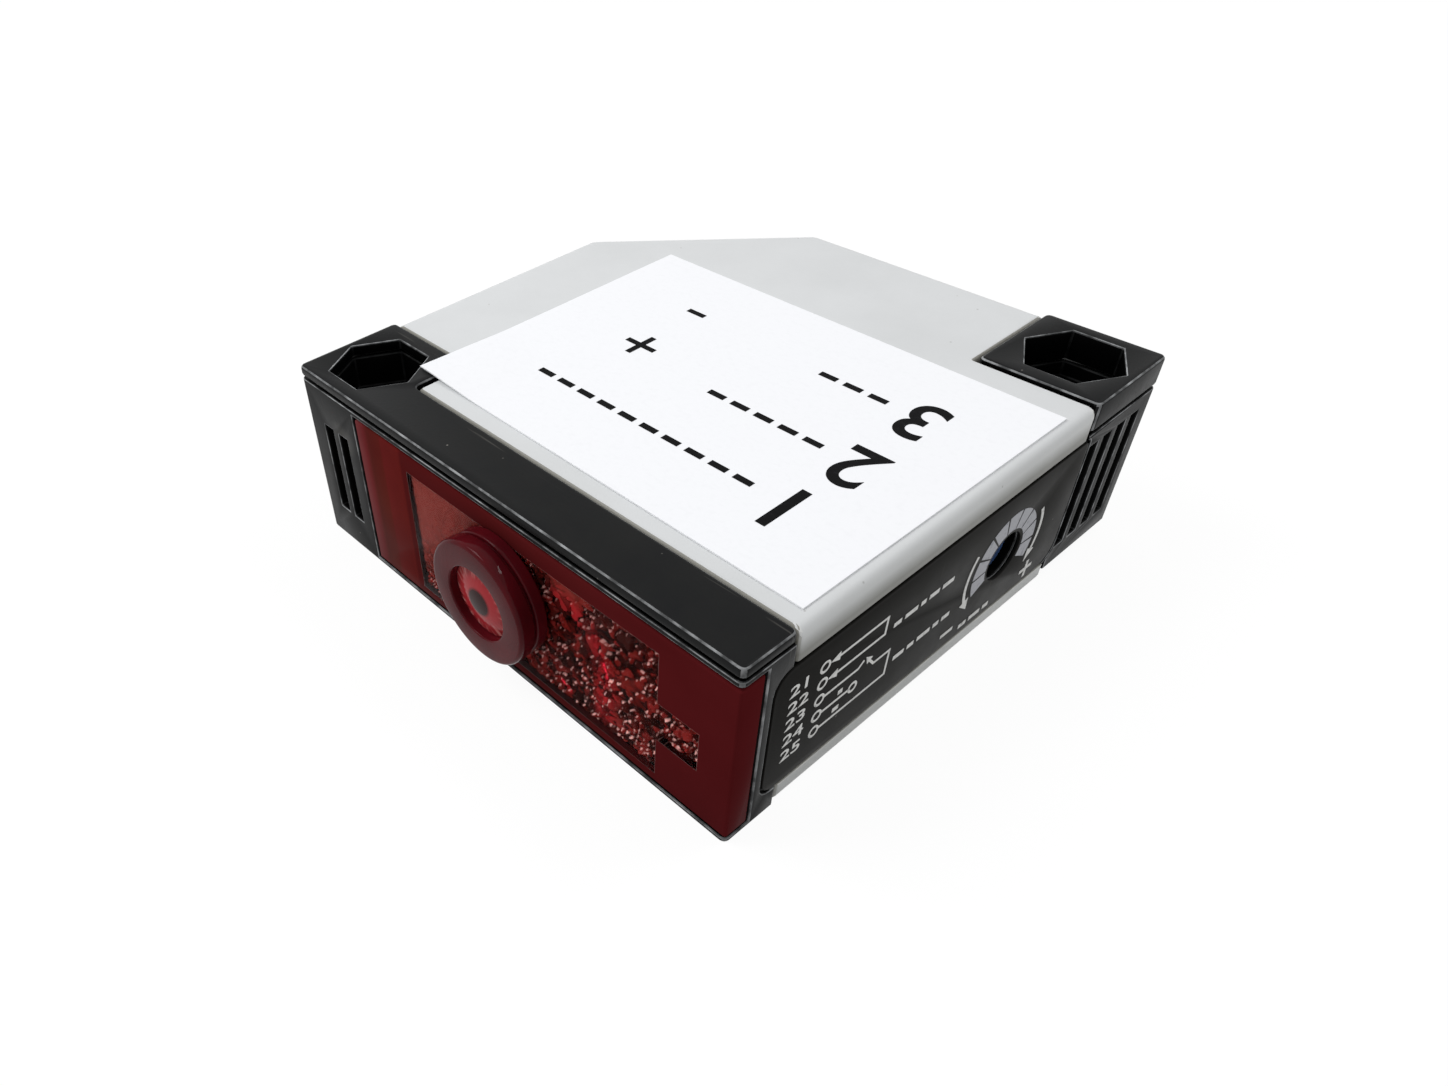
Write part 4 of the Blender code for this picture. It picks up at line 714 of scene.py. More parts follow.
def piece(name, mesh, finish, nodes=(), body="housing"):
    """Makes a mesh a piece of the sensor, at the origin, on its body and standing for its nodes."""
    mesh.name = name
    mesh.materials.clear()
    mesh.materials.append(look(finish))
    made = bpy.data.objects.new(name, mesh)
    bpy.context.scene.collection.objects.link(made)
    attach(made, body)
    if nodes:
        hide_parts(*nodes)


def finished(work, smooth=True):
    """Turns mesh work into a mesh with its faces outwards and its sharp edges kept."""
    bmesh.ops.recalc_face_normals(work, faces=work.faces)
    mesh = bpy.data.meshes.new("sensor_part")
    work.to_mesh(mesh)
    work.free()
    if smooth:
        mesh.shade_smooth()
        mesh.set_sharp_from_angle(angle=SMOOTH_ANGLE)
    return mesh


def fold_flaps(work):
    """Folds away flaps of no thickness: a corner whose faces lie in one plane, some of them facing back."""
    work.normal_update()
    folds = {}
    for corner in work.verts:
        normal = corner.link_faces[0].normal
        leans = [normal.dot(face.normal) for face in corner.link_faces]
        if min(abs(lean) for lean in leans) < COPLANAR or min(leans) > 0.0:
            continue
        sides = [[f for f, lean in zip(corner.link_faces, leans) if lean * way > 0.0] for way in (1, -1)]
        back = min(sides, key=lambda side: sum(face.calc_area() for face in side))
        shared = set.intersection(*(set(face.verts) for face in back)) - {corner}
        if len(shared) == 1:
            folds[corner] = shared.pop()
    if folds:
        bmesh.ops.weld_verts(work, targetmap=folds)


def has_room(edge, sharp, width):
    """Whether an edge can be rounded by width without running over a short edge across its end."""
    for vert in edge.verts:
        along = (edge.other_vert(vert).co - vert.co).normalized()
        for other in vert.link_edges:
            if other is edge or other not in sharp or other.calc_length() > SHORT_EDGE * width:
                continue
            across = (other.other_vert(vert).co - vert.co).normalized()
            if abs(across.dot(along)) < ALIGNED:
                return False
    return True


def shell_tree(node, work):
    """Search tree of a shell's new mesh and the solids of the other shells."""
    together = work.copy()
    for other in SHELLS:
        if other != node:
            together.from_mesh(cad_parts[other].data)
    tree = BVHTree.FromBMesh(together)
    together.free()
    return tree


def hidden_share(tree, face):
    """Share of the sky over a face's middle that the meshes in the tree hide."""
    start = face.calc_center_median() + face.normal * SKY_LIFT
    turn = Vector((0.0, 0.0, 1.0)).rotation_difference(face.normal).to_matrix()
    hits = 0
    for k in range(SKY_RAYS):
        height = math.sqrt((k + 0.5) / SKY_RAYS)
        spread = math.sqrt(1.0 - height * height)
        way = Vector((spread * math.cos(GOLDEN_TURN * k), spread * math.sin(GOLDEN_TURN * k), height))
        hits += tree.ray_cast(start, turn @ way, SKY_REACH)[0] is not None
    return hits / SKY_RAYS


def eased_copy(node, width):
    """A solid's mesh with its flat facets joined, its sharp edges rounded, its edges marked for wear and a
    painted highlight, and its faces for painted shade.
    """
    work = bmesh.new()
    work.from_mesh(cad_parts[node].data)
    bmesh.ops.remove_doubles(work, verts=work.verts, dist=WELD)
    fold_flaps(work)
    bmesh.ops.dissolve_limit(work, angle_limit=FLAT_ANGLE, verts=work.verts, edges=work.edges)
    worn, painted_shade = [work.faces.layers.float.new(layer) for layer in ("worn", "painted_shade")]
    sharp = {e for e in work.edges if len(e.link_faces) == 2 and e.calc_face_angle() > SHARP_ANGLE}
    edges = [e for e in work.edges if e in sharp and has_room(e, sharp, width)]
    rounded = bmesh.ops.bevel(work, geom=edges, offset=width, offset_type="OFFSET", segments=2, profile=0.5,
                              affect="EDGES", clamp_overlap=False)["faces"]
    # Rounded edges get the mark for wear and a painted highlight
    for face in rounded:
        face[worn] = 1.0
    bmesh.ops.recalc_face_normals(work, faces=work.faces)
    # Rounded faces that face down lose the mark, so they get no painted highlight
    for face in rounded:
        if face.normal.z < FACING_DOWN:
            face[worn] = 0.0
    tree = shell_tree(node, work)
    for face in work.faces:
        across = 2 * face.calc_area() / face.calc_perimeter()
        # Slim tilted facets of the solids' own fillets get the mark too, which paints a highlight line along
        # them
        if across < SLIM_FACET and max(abs(part) for part in face.normal) < TILTED:
            face[worn] = 1.0
        # The share of hidden sky sets the painted shade in recesses
        face[painted_shade] = hidden_share(tree, face)
    return finished(work)


def lathe(profile, centre, out, steps, ripple=None):
    """A profile of (radius, height) turned about a line through centre along the unit vector out."""
    work = bmesh.new()
    frame_turn = Vector((0.0, 0.0, 1.0)).rotation_difference(out).to_matrix()
    rings = []
    for radius, height in profile:
        ring = []
        for k in range(1 if radius == 0.0 else steps):
            angle = 2 * math.pi * k / steps
            lift = ripple(radius, angle) if ripple else 0.0
            spoke = Vector((radius * math.cos(angle), radius * math.sin(angle), height + lift))
            ring.append(work.verts.new(centre + frame_turn @ spoke))
        rings.append(ring)
    if profile[0][0] > 0.0:
        rings.append(rings[0])
    for first, second in zip(rings, rings[1:]):
        for k in range(steps):
            m = (k + 1) % steps
            corners = [first[k % len(first)], first[m % len(first)], second[m % len(second)],
                       second[k % len(second)]]
            work.faces.new(list(dict.fromkeys(corners)))
    return finished(work)


def fillet(centre, radius, start, end, steps=6):
    """Points of an arc from start to end degrees, for a turned profile or a printed line."""
    turns = [math.radians(start + (end - start) * k / steps) for k in range(steps + 1)]
    return [(centre[0] + radius * math.cos(a), centre[1] + radius * math.sin(a)) for a in turns]


def band(work, points, width, height, place, closed=False):
    """A printed line: a mitred band of a width along points, as a thin closed body."""
    count = len(points)
    sides = []
    for k, here in enumerate(points):
        here = Vector(here)
        before = Vector(points[k - 1]) if closed or k > 0 else 2 * here - Vector(points[k + 1])
        after = Vector(points[(k + 1) % count]) if closed or k < count - 1 else 2 * here - before
        along = (here - before).normalized() + (after - here).normalized()
        along.normalize()
        normal = Vector((-along.y, along.x))
        aside = Vector((-(here - before).y, (here - before).x)).normalized()
        reach = width / 2 / max(normal.dot(aside), SHARPEST_MITRE)
        sides.append((here - normal * reach, here + normal * reach))
    rings = []
    for right, left in sides:
        corners = [(right, 0.0), (left, 0.0), (left, height), (right, height)]
        rings.append([work.verts.new(place @ Vector((p.x, p.y, level))) for p, level in corners])
    last = count if closed else count - 1
    for k in range(last):
        first, second = rings[k], rings[(k + 1) % count]
        for m in range(4):
            n = (m + 1) % 4
            work.faces.new((first[m], first[n], second[n], second[m]))
    if not closed:
        work.faces.new(rings[0])
        work.faces.new(rings[-1])


def plate(work, outline, height, place):
    """A printed patch: an outline as a thin closed body."""
    low = [work.verts.new(place @ Vector((x, y, 0.0))) for x, y in outline]
    high = [work.verts.new(place @ Vector((x, y, height))) for x, y in outline]
    work.faces.new(low[::-1])
    work.faces.new(high)
    for k in range(len(outline)):
        m = (k + 1) % len(outline)
        work.faces.new((low[k], low[m], high[m], high[k]))


def bar(work, left, low, right, high, height, place):
    """A printed bar between two corners."""
    plate(work, [(left, low), (right, low), (right, high), (left, high)], height, place)


def number(work, text, size, left, low, height, place, wide=1.0):
    """A printed number, as a thin closed body."""
    curve = bpy.data.curves.new("number", "FONT")
    curve.body = text
    curve.size = size
    curve.extrude = height / 2
    curve.offset = 0.01 * size
    drawn = bpy.data.objects.new("number", curve)
    bpy.context.scene.collection.objects.link(drawn)
    bpy.context.view_layer.update()
    graph = bpy.context.evaluated_depsgraph_get()
    mesh = bpy.data.meshes.new_from_object(drawn.evaluated_get(graph))
    stretch = Matrix.Diagonal((wide, 1.0, 1.0, 1.0))
    mesh.transform(place @ Matrix.Translation((left, low, height / 2)) @ stretch)
    work.from_mesh(mesh)
    bpy.data.objects.remove(drawn, do_unlink=True)
    bpy.data.curves.remove(curve)
    bpy.data.meshes.remove(mesh)


def node_tree(name, inputs):
    """A Geometry Nodes tree with named inputs and one geometry output, and its input node."""
    tree = bpy.data.node_groups.new(name, "GeometryNodeTree")
    for label, kind, value in inputs:
        socket = tree.interface.new_socket(label, in_out="INPUT", socket_type=kind)
        socket.default_value = value
    tree.interface.new_socket("Geometry", in_out="OUTPUT", socket_type="NodeSocketGeometry")
    return tree, add(tree, "NodeGroupInput").outputs


def end_tree(tree, geometry, given):
    """Ends a tree in real geometry with its material."""
    real = add(tree, "GeometryNodeRealizeInstances", {0: geometry})
    painted = add(tree, "GeometryNodeSetMaterial", {"Geometry": real.outputs[0],
                                                    "Material": given["Material"]})
    add(tree, "NodeGroupOutput", {0: painted.outputs[0]})


def grown(tree, values):
    """What a Geometry Nodes tree makes with these inputs, as a plain mesh."""
    maker = bpy.data.objects.new("maker", bpy.data.meshes.new("maker"))
    bpy.context.scene.collection.objects.link(maker)
    change = maker.modifiers.new("tree", "NODES")
    change.node_group = tree
    for item in tree.interface.items_tree:
        if item.in_out == "INPUT" and item.name in values:
            change[item.identifier] = values[item.name]
    bpy.context.view_layer.update()
    graph = bpy.context.evaluated_depsgraph_get()
    mesh = bpy.data.meshes.new_from_object(maker.evaluated_get(graph))
    maker.modifiers.remove(change)
    bpy.data.objects.remove(maker, do_unlink=True)
    work = bmesh.new()
    work.from_mesh(mesh)
    bmesh.ops.remove_doubles(work, verts=work.verts, dist=WELD)
    bpy.data.meshes.remove(mesh)
    return work


def scale_tree():
    """Tree of the dial's printed scale: curved blocks set round an arc, a gap between them."""
    tree, given = node_tree("dial_scale", [
        ("Blocks", "NodeSocketInt", 9), ("Inner Radius", "NodeSocketFloat", 2.4 * MM),
        ("Outer Radius", "NodeSocketFloat", 4.1 * MM), ("Start", "NodeSocketFloat", 0.0),
        ("Sweep", "NodeSocketFloat", math.pi), ("Gap", "NodeSocketFloat", 0.05),
        ("Thickness", "NodeSocketFloat", INK), ("Material", "NodeSocketMaterial", None)])
    pitch = add(tree, "ShaderNodeMath", {0: given["Sweep"], 1: given["Blocks"]}, operation="DIVIDE")
    width = add(tree, "ShaderNodeMath", {0: pitch.outputs[0], 1: given["Gap"]}, operation="SUBTRACT")
    block = add(tree, "GeometryNodeMeshCube", {"Size": (1.0, 1.0, 1.0), "Vertices X": 2, "Vertices Y": 7})
    parts = add(tree, "ShaderNodeSeparateXYZ", {0: add(tree, "GeometryNodeInputPosition").outputs[0]})
    radius = add(tree, "ShaderNodeMapRange", {0: parts.outputs["X"], 1: -0.5, 2: 0.5,
                                              3: given["Inner Radius"], 4: given["Outer Radius"]})
    angle = add(tree, "ShaderNodeMath", {0: parts.outputs["Y"], 1: width.outputs[0]}, operation="MULTIPLY")
    rise = add(tree, "ShaderNodeMapRange", {0: parts.outputs["Z"], 1: -0.5, 2: 0.5, 4: given["Thickness"]})
    cosine = add(tree, "ShaderNodeMath", {0: angle.outputs[0]}, operation="COSINE")
    sine = add(tree, "ShaderNodeMath", {0: angle.outputs[0]}, operation="SINE")
    across = add(tree, "ShaderNodeMath", {0: radius.outputs[0], 1: cosine.outputs[0]}, operation="MULTIPLY")
    along = add(tree, "ShaderNodeMath", {0: radius.outputs[0], 1: sine.outputs[0]}, operation="MULTIPLY")
    spot = add(tree, "ShaderNodeCombineXYZ", {0: across.outputs[0], 1: along.outputs[0], 2: rise.outputs[0]})
    bent = add(tree, "GeometryNodeSetPosition", {"Geometry": block.outputs[0], "Position": spot.outputs[0]})
    points = add(tree, "GeometryNodeMeshLine", {"Count": given["Blocks"], "Offset": (0.0, 0.0, 0.0)})
    index = add(tree, "GeometryNodeInputIndex").outputs[0]
    middle = add(tree, "ShaderNodeMath", {0: index, 1: 0.5}, operation="ADD")
    turned = add(tree, "ShaderNodeMath", {0: middle.outputs[0], 1: pitch.outputs[0], 2: given["Start"]},
                 operation="MULTIPLY_ADD")
    rotation = add(tree, "FunctionNodeAxisAngleToRotation", {"Axis": (0.0, 0.0, 1.0),
                                                              "Angle": turned.outputs[0]})
    placed = add(tree, "GeometryNodeInstanceOnPoints", {"Points": points.outputs[0],
                                                        "Instance": bent.outputs[0],
                                                        "Rotation": rotation.outputs[0]})
    end_tree(tree, placed.outputs[0], given)
    return tree


def rings_tree():
    """Tree of the wiring terminals: printed rings in a column."""
    tree, given = node_tree("terminal_rings", [
        ("Rings", "NodeSocketInt", 5), ("Radius", "NodeSocketFloat", 0.5 * MM),
        ("Line Width", "NodeSocketFloat", 0.2 * MM), ("Pitch", "NodeSocketFloat", 1.6 * MM),
        ("Thickness", "NodeSocketFloat", INK), ("Material", "NodeSocketMaterial", None)])
    circle = add(tree, "GeometryNodeCurvePrimitiveCircle", {"Resolution": 24, "Radius": given["Radius"]})
    section = add(tree, "GeometryNodeCurvePrimitiveQuadrilateral", {"Width": given["Line Width"],
                                                                    "Height": given["Thickness"]})
    ring = add(tree, "GeometryNodeCurveToMesh", {0: circle.outputs[0], 1: section.outputs[0]})
    down = add(tree, "ShaderNodeMath", {0: given["Pitch"], 1: -1.0}, operation="MULTIPLY")
    step = add(tree, "ShaderNodeCombineXYZ", {1: down.outputs[0]})
    column = add(tree, "GeometryNodeMeshLine", {"Count": given["Rings"], "Offset": step.outputs[0]})
    placed = add(tree, "GeometryNodeInstanceOnPoints", {"Points": column.outputs[0],
                                                        "Instance": ring.outputs[0]})
    end_tree(tree, placed.outputs[0], given)
    return tree


def label_place(along, up):
    """The place of a print on the nameplate: local X runs along +Y, local Y up, local Z outwards."""
    turn = Matrix(((0, 0, 1, 0), (1, 0, 0, 0), (0, 1, 0, 0), (0, 0, 0, 1)))
    spot = Vector((LABEL_HIGH.x, LABEL_LOW.y + along * MM, LABEL_LOW.z + up * MM))
    return Matrix.Translation(spot) @ turn


def smoothstep(low, high, value):
    """0 below low, 1 above high and a smooth rise between, for numbers or arrays."""
    part = np.clip((value - low) / (high - low), 0.0, 1.0)
    return part * part * (3 - 2 * part)


def lattice(rng, shape, rows, columns):
    """Smooth noise over a grid: random values on a coarse lattice, blended between."""
    coarse = rng.random((rows + 2, columns + 2))
    v = np.linspace(0, rows, shape[0])[:, None]
    u = np.linspace(0, columns, shape[1])[None, :]
    i, j = v.astype(int), u.astype(int)
    s, t = smoothstep(0, 1, v - i), smoothstep(0, 1, u - j)
    low = coarse[i, j] * (1 - t) + coarse[i, j + 1] * t
    high = coarse[i + 1, j] * (1 - t) + coarse[i + 1, j + 1] * t
    return low * (1 - s) + high * s


def pebbles(xs, zs, pebble, seed):
    """Relief of pebbled acrylic, 0 in the creases and 1 on the pebbles, and a shade for each pebble."""
    rng = np.random.default_rng(seed)
    shape = (len(zs), len(xs))
    sway = [(lattice(rng, shape, *SWAY_LATTICE) - 0.5) * pebble * PEBBLE_SWAY for _ in range(2)]
    u = (xs[None, :] - xs[0] + sway[0]) / pebble + 1
    v = (zs[:, None] - zs[0] + sway[1]) / (pebble * PEBBLE_SQUASH) + 1
    columns, rows = int(u.max()) + 3, int(v.max()) + 3
    spots = rng.random((rows + 2, columns + 2, 2))
    shades = rng.random((rows + 2, columns + 2))
    lean = rng.normal(0.0, PEBBLE_LEAN, (rows + 2, columns + 2, 2))
    first, second = np.full(shape, 9.0), np.full(shape, 9.0)
    level, shade = np.ones(shape), np.zeros(shape)
    i, j = np.clip(v.astype(int), 0, rows - 1), np.clip(u.astype(int), 0, columns - 1)
    for di in (-1, 0, 1):
        for dj in (-1, 0, 1):
            a, b = np.clip(i + di, 0, rows), np.clip(j + dj, 0, columns)
            across, along = b + spots[a, b, 0] - u, a + spots[a, b, 1] - v
            gap = np.hypot(across, along)
            nearer = gap < first
            second = np.where(nearer, first, np.minimum(second, gap))
            tilted = PEBBLE_TOP + lean[a, b, 0] * across + lean[a, b, 1] * along
            level = np.where(nearer, tilted, level)
            shade = np.where(nearer, shades[a, b], shade)
            first = np.minimum(first, gap)
    return np.clip(level * smoothstep(0.0, CREASE_WIDTH, second - first), 0.0, 1.0), shade


def near_line(grid_x, grid_z, points, reach):
    """1 on a line through points and a smooth fall to 0 at reach from it."""
    nearest = np.full(grid_x.shape, np.inf)
    for (x0, z0), (x1, z1) in zip(points, points[1:]):
        span = (x1 - x0) ** 2 + (z1 - z0) ** 2
        part = np.clip(((grid_x - x0) * (x1 - x0) + (grid_z - z0) * (z1 - z0)) / span, 0.0, 1.0)
        gap = np.hypot(grid_x - x0 - part * (x1 - x0), grid_z - z0 - part * (z1 - z0))
        nearest = np.minimum(nearest, gap)
    return smoothstep(reach, 0.0, nearest)


def panel_layers(xs, zs, grid_x, grid_z):
    """The panel's relief over its grid, and what its material paints: pale reflection, shade per pebble,
    highlights, streak and glints.
    """
    across = (grid_x - PANEL_LOW.x) / (PANEL_HIGH.x - PANEL_LOW.x)
    upward = (grid_z - PANEL_LOW.z) / (PANEL_HIGH.z - PANEL_LOW.z)
    dense = np.maximum(smoothstep(*DENSE_BELOW, upward), smoothstep(*DENSE_RIGHT, across))
    large, large_shade = pebbles(xs, zs, sizes().pebble, PEBBLE_SEED)
    small, small_shade = pebbles(xs, zs, sizes().pebble_fine, PEBBLE_SEED + 1)
    relief = large * (1 - dense) + small * dense
    shade = large_shade * (1 - dense) + small_shade * dense
    # Painted pale reflection: the upper left corner and a spot up and right of the collar, where the relief
    # is also flattened
    pale_reflection = smoothstep(*PALE_CORNER, across - upward * PALE_LEAN)
    from_spot = np.hypot(grid_x - PALE_SPOT[0], grid_z - PALE_SPOT[1])
    pale_reflection = np.maximum(pale_reflection, PALE_SPOT_SHARE * smoothstep(*PALE_REACH, from_spot))
    relief = relief * (1 - PALE_FLATTENING * pale_reflection) + PALE_FLATTENING * pale_reflection
    # Painted highlights: small lights on slopes that face up and left, broken up by a lattice, fewer on
    # large pebbles and none on the pale parts
    rise_z, rise_x = np.gradient(relief)
    lit_slope = smoothstep(*LIT_SLOPE, rise_x * LIGHT_WAY[0] - rise_z * LIGHT_WAY[1])
    sparkle = lattice(np.random.default_rng(PEBBLE_SEED + 2), relief.shape, *SPARKLE_LATTICE)
    density = SPARKLE_LEAST + (1 - SPARKLE_LEAST) * dense
    painted_glint = lit_slope * smoothstep(*SPARKLE, sparkle) * density * (1 - pale_reflection)
    streak_and_glints = STREAK_SHARE * near_line(grid_x, grid_z, STREAK, STREAK_REACH) * shade
    # Two vivid painted glints, laid into the streak's layer
    for points in VIVID_GLINTS:
        streak_and_glints = np.maximum(streak_and_glints, near_line(grid_x, grid_z, points, GLINT_REACH))
    # A border along the left and bottom edges and under the arm sits at the creases' depth and gets their
    # painted black shade
    rim = (grid_x < PANEL_LOW.x + BORDER) | (grid_z < PANEL_LOW.z + BORDER)
    rim |= (np.abs(grid_z - ARM_LOW) < BORDER / 2) & (grid_x > PANEL_HIGH.x - ARM_LENGTH)
    return {"relief": np.where(rim, 0.0, relief), "pale_reflection": np.where(rim, 0.0, pale_reflection), "shade": shade,
            "painted_glint": np.where(rim, 0.0, painted_glint), "streak_and_glints": np.where(rim, 0.0, streak_and_glints)}


def pebbled_body():
    """The textured panel with its relief cut into the front, its arm and its bore for the collar."""
    step, depth = sizes().pebble_step, sizes().pebble_depth
    xs = np.linspace(PANEL_LOW.x, PANEL_HIGH.x, round((PANEL_HIGH.x - PANEL_LOW.x) / step) + 1)
    zs = np.linspace(PANEL_LOW.z, PANEL_HIGH.z, round((PANEL_HIGH.z - PANEL_LOW.z) / step) + 1)
    middle_x, middle_z = (xs[1:] + xs[:-1]) / 2, (zs[1:] + zs[:-1]) / 2
    in_arm = (middle_z > ARM_LOW) & (middle_z < ARM_LOW + ARM_HEIGHT)
    keep = (middle_x[None, :] < PANEL_HIGH.x - ARM_LENGTH) | in_arm[:, None]
    keep &= np.hypot(middle_x[None, :] - AXIS.x, middle_z[:, None] - AXIS.z) > PANEL_BORE
    grid_x, grid_z = np.meshgrid(xs, zs)
    layers = panel_layers(xs, zs, grid_x, grid_z)
    front = WINDOW_LOW.y + SKIN + depth * (1 - layers["relief"])
    distance = np.hypot(grid_x - AXIS.x, grid_z - AXIS.z)
    ring = np.abs(distance - PANEL_BORE) < step
    pull = np.where(ring, PANEL_BORE / np.maximum(distance, step), 1.0)
    grid_x = AXIS.x + (grid_x - AXIS.x) * pull
    grid_z = AXIS.z + (grid_z - AXIS.z) * pull
    rows, columns = front.shape
    back = np.full_like(front, PANEL_HIGH.y)
    points = np.concatenate([np.stack([grid_x, y, grid_z], -1).reshape(-1, 3) for y in (front, back)])
    corner = np.arange(rows * columns).reshape(rows, columns)
    quads = np.stack([corner[:-1, :-1], corner[:-1, 1:], corner[1:, 1:], corner[1:, :-1]], -1)[keep]
    faces = [tuple(q) for q in quads.tolist()]
    edges = {(a, b) for face in faces for a, b in zip(face, face[1:] + face[:1])}
    shift = rows * columns
    walls = [(b, a, a + shift, b + shift) for a, b in sorted(edges) if (b, a) not in edges]
    rear = [tuple(v + shift for v in reversed(face)) for face in faces]
    mesh = bpy.data.meshes.new("panel")
    mesh.from_pydata(points.tolist(), [], faces + rear + walls)
    for layer, front_values in layers.items():
        values = np.concatenate([front_values.ravel(), np.zeros(front_values.size)])
        mesh.attributes.new(layer, "FLOAT", "POINT").data.foreach_set("value", values)
    work = bmesh.new()
    work.from_mesh(mesh)
    bpy.data.meshes.remove(mesh)
    loose = [v for v in work.verts if not v.link_faces]
    bmesh.ops.delete(work, geom=loose, context="VERTS")
    bmesh.ops.remove_doubles(work, verts=work.verts, dist=WELD)
    return finished(work)


def collar_profile():
    """The flanged collar's section: (radius, height) from its face, heights below it negative."""
    radius = (COLLAR_HIGH.x - COLLAR_LOW.x) / 2
    back = COLLAR_LOW.y - COLLAR_HIGH.y
    foot = COLLAR_LOW.y - WINDOW_LOW.y + 0.1 * MM
    flange, groove, edge, lip = -1.4 * MM, 0.25 * MM, 0.35 * MM, 0.15 * MM
    aperture, spigot, bore = 3.2 * MM, 4.6 * MM, 4.0 * MM
    floor = radius - 0.4 * MM
    base = radius - 0.1 * MM
    return [
        (aperture, -1.2 * MM), *fillet((aperture + lip, -lip), lip, 180, 90),
        *fillet((radius - edge, -edge), edge, 90, 0), *fillet((radius - lip, flange + lip), lip, 0, -90, 3),
        (floor, flange), (floor, flange - groove),
        *fillet((base - lip, flange - groove - lip), lip, 90, 0, 3),
        (base, foot), (spigot, foot), (spigot, back), (bore, back), (bore, -1.2 * MM)]


def lens_profile():
    """The lens's section: (radius, height) from the collar's face."""
    radius = (LENS_HIGH.x - LENS_LOW.x) / 2
    crown, reach, sunk, rim = 0.5 * MM, 3.15 * MM, 0.25 * MM, 1.25 * MM
    sphere = (reach ** 2 + crown ** 2) / (2 * crown)
    half = math.asin(reach / sphere)
    turns = [half * k / 24 for k in range(25)]
    dome = [(sphere * math.sin(a), sphere * math.cos(a) - sphere - sunk) for a in turns]
    back = COLLAR_LOW.y - LENS_HIGH.y
    return [*dome, (reach, -rim), (radius, -rim), (radius, back), (0.0, back)]


def paper_height(x, y):
    """Height of the sticker's underside: on the cover, rising over the corner of the frame plate."""
    rest = COVER_HIGH.z + PAPER_GAP
    step = PLATE_HIGH.z - COVER_HIGH.z
    right = max(x - (CASE_LOW.x + BLOCK_EDGE), 0.0)
    beyond = max(y - (CASE_LOW.y + BLOCK_EDGE), 0.0)
    near = 1.0 - float(smoothstep(0.0, STEP_REACH, math.hypot(right, beyond)))
    corner = math.hypot(x - STICKER_LOW.x, y - STICKER_LOW.y)
    curl = sizes().curl * float(smoothstep(CURL_REACH, 0.0, corner)) ** 2
    wave = WAVE_HEIGHT * (math.sin(x / WAVE_LENGTHS[0]) * math.sin(y / WAVE_LENGTHS[1]))
    return rest + step * near + curl + max(wave, 0.0)


def sticker_place():
    """The sticker's turn and middle, at height 0."""
    middle = (STICKER_LOW + STICKER_HIGH) / 2
    return Matrix.Translation((middle.x, middle.y, 0.0)) @ Matrix.Rotation(STICKER_TURN, 4, "Z")


def laid(work, lift):
    """Raises flat mesh work to the height of the sticker's underside, plus lift."""
    for vert in work.verts:
        spot = vert.co
        vert.co.z = spot.z + paper_height(spot.x, spot.y) + lift
    return work


def draw_wiring(work, place):
    """Draws the wiring diagram with its codes, and the nameplate's small bars and signs."""
    wide = LINE_WIDTH * MM

    def line(points):
        band(work, [(x * MM, y * MM) for x, y in points], wide, INK, place)

    edge = TERMINAL_ALONG + TERMINAL_RADIUS + LINE_WIDTH / 2
    line([(edge + 0.5, ROWS[0]), (SUPPLY_ALONG, ROWS[0]), (SUPPLY_ALONG, ROWS[1]), (edge + 0.5, ROWS[1])])
    for row in ROWS[:2]:
        plate(work, [((edge + a) * MM, (row + b) * MM) for a, b in ((0.0, 0.0), (1.0, -0.4), (1.0, 0.4))],
              OVER_INK, place)
    line([(edge, ROWS[2]), (9.3, ROWS[2]), (9.9, ROWS[2] + 0.45)])
    line([(edge, ROWS[3]), (8.6, ROWS[3])])
    line([(edge, ROWS[4]), (COMMON_ALONG, ROWS[4]), (COMMON_ALONG, ROWS[2] - 0.75), (11.2, ROWS[2] - 0.75),
          (10.5, ROWS[2] + 0.1)])
    plate(work, [(x * MM, y * MM) for x, y in (
        (10.1, ROWS[2] + 0.6), (10.35, ROWS[2] - 0.25), (10.95, ROWS[2] + 0.15))], OVER_INK, place)
    band(work, [(x * MM, y * MM) for x, y in fillet((9.05, ROWS[3]), 0.42, 0, 345, 23)], wide, INK, place,
         closed=True)
    for k, row in enumerate(ROWS):
        number(work, f"2{k + 1}", CODE_SIZE * MM, CODE_ALONG * MM, (row - CODE_DROP) * MM, INK, place,
               CODE_WIDE)
    for left, low, lengths in SMALL_BARS:
        for reach in lengths:
            bar(work, left * MM, low * MM, (left + reach) * MM, (low + BAR_HEIGHT) * MM, INK, place)
            left += reach + BAR_GAP
    for left, low, right, high, ink in DIAL_SIGNS:
        bar(work, left * MM, low * MM, right * MM, high * MM, ink, place)


class SENSOR_OT_shells(bpy.types.Operator):
    """Case, frame plate, corner pad and both covers, with their edges broken."""

    bl_idname = "sensor.shells"
    bl_label = "Housing shells"

    def execute(self, context):
        for node, (finish, slot) in SHELLS.items():
            piece(node + "_shell", eased_copy(node, sizes().edge), finish, (node,))
        return {"FINISHED"}


class SENSOR_OT_window(bpy.types.Operator):
    """Red window and the pebbled panel behind it."""

    bl_idname = "sensor.window"
    bl_label = "Window and panel"

    def execute(self, context):
        piece("red_window", eased_copy("front_window", sizes().edge * 0.7), "window_red",
              ("front_window",))
        piece("pebbled_panel", pebbled_body(), "panel_red", ("textured_panel",))
        return {"FINISHED"}


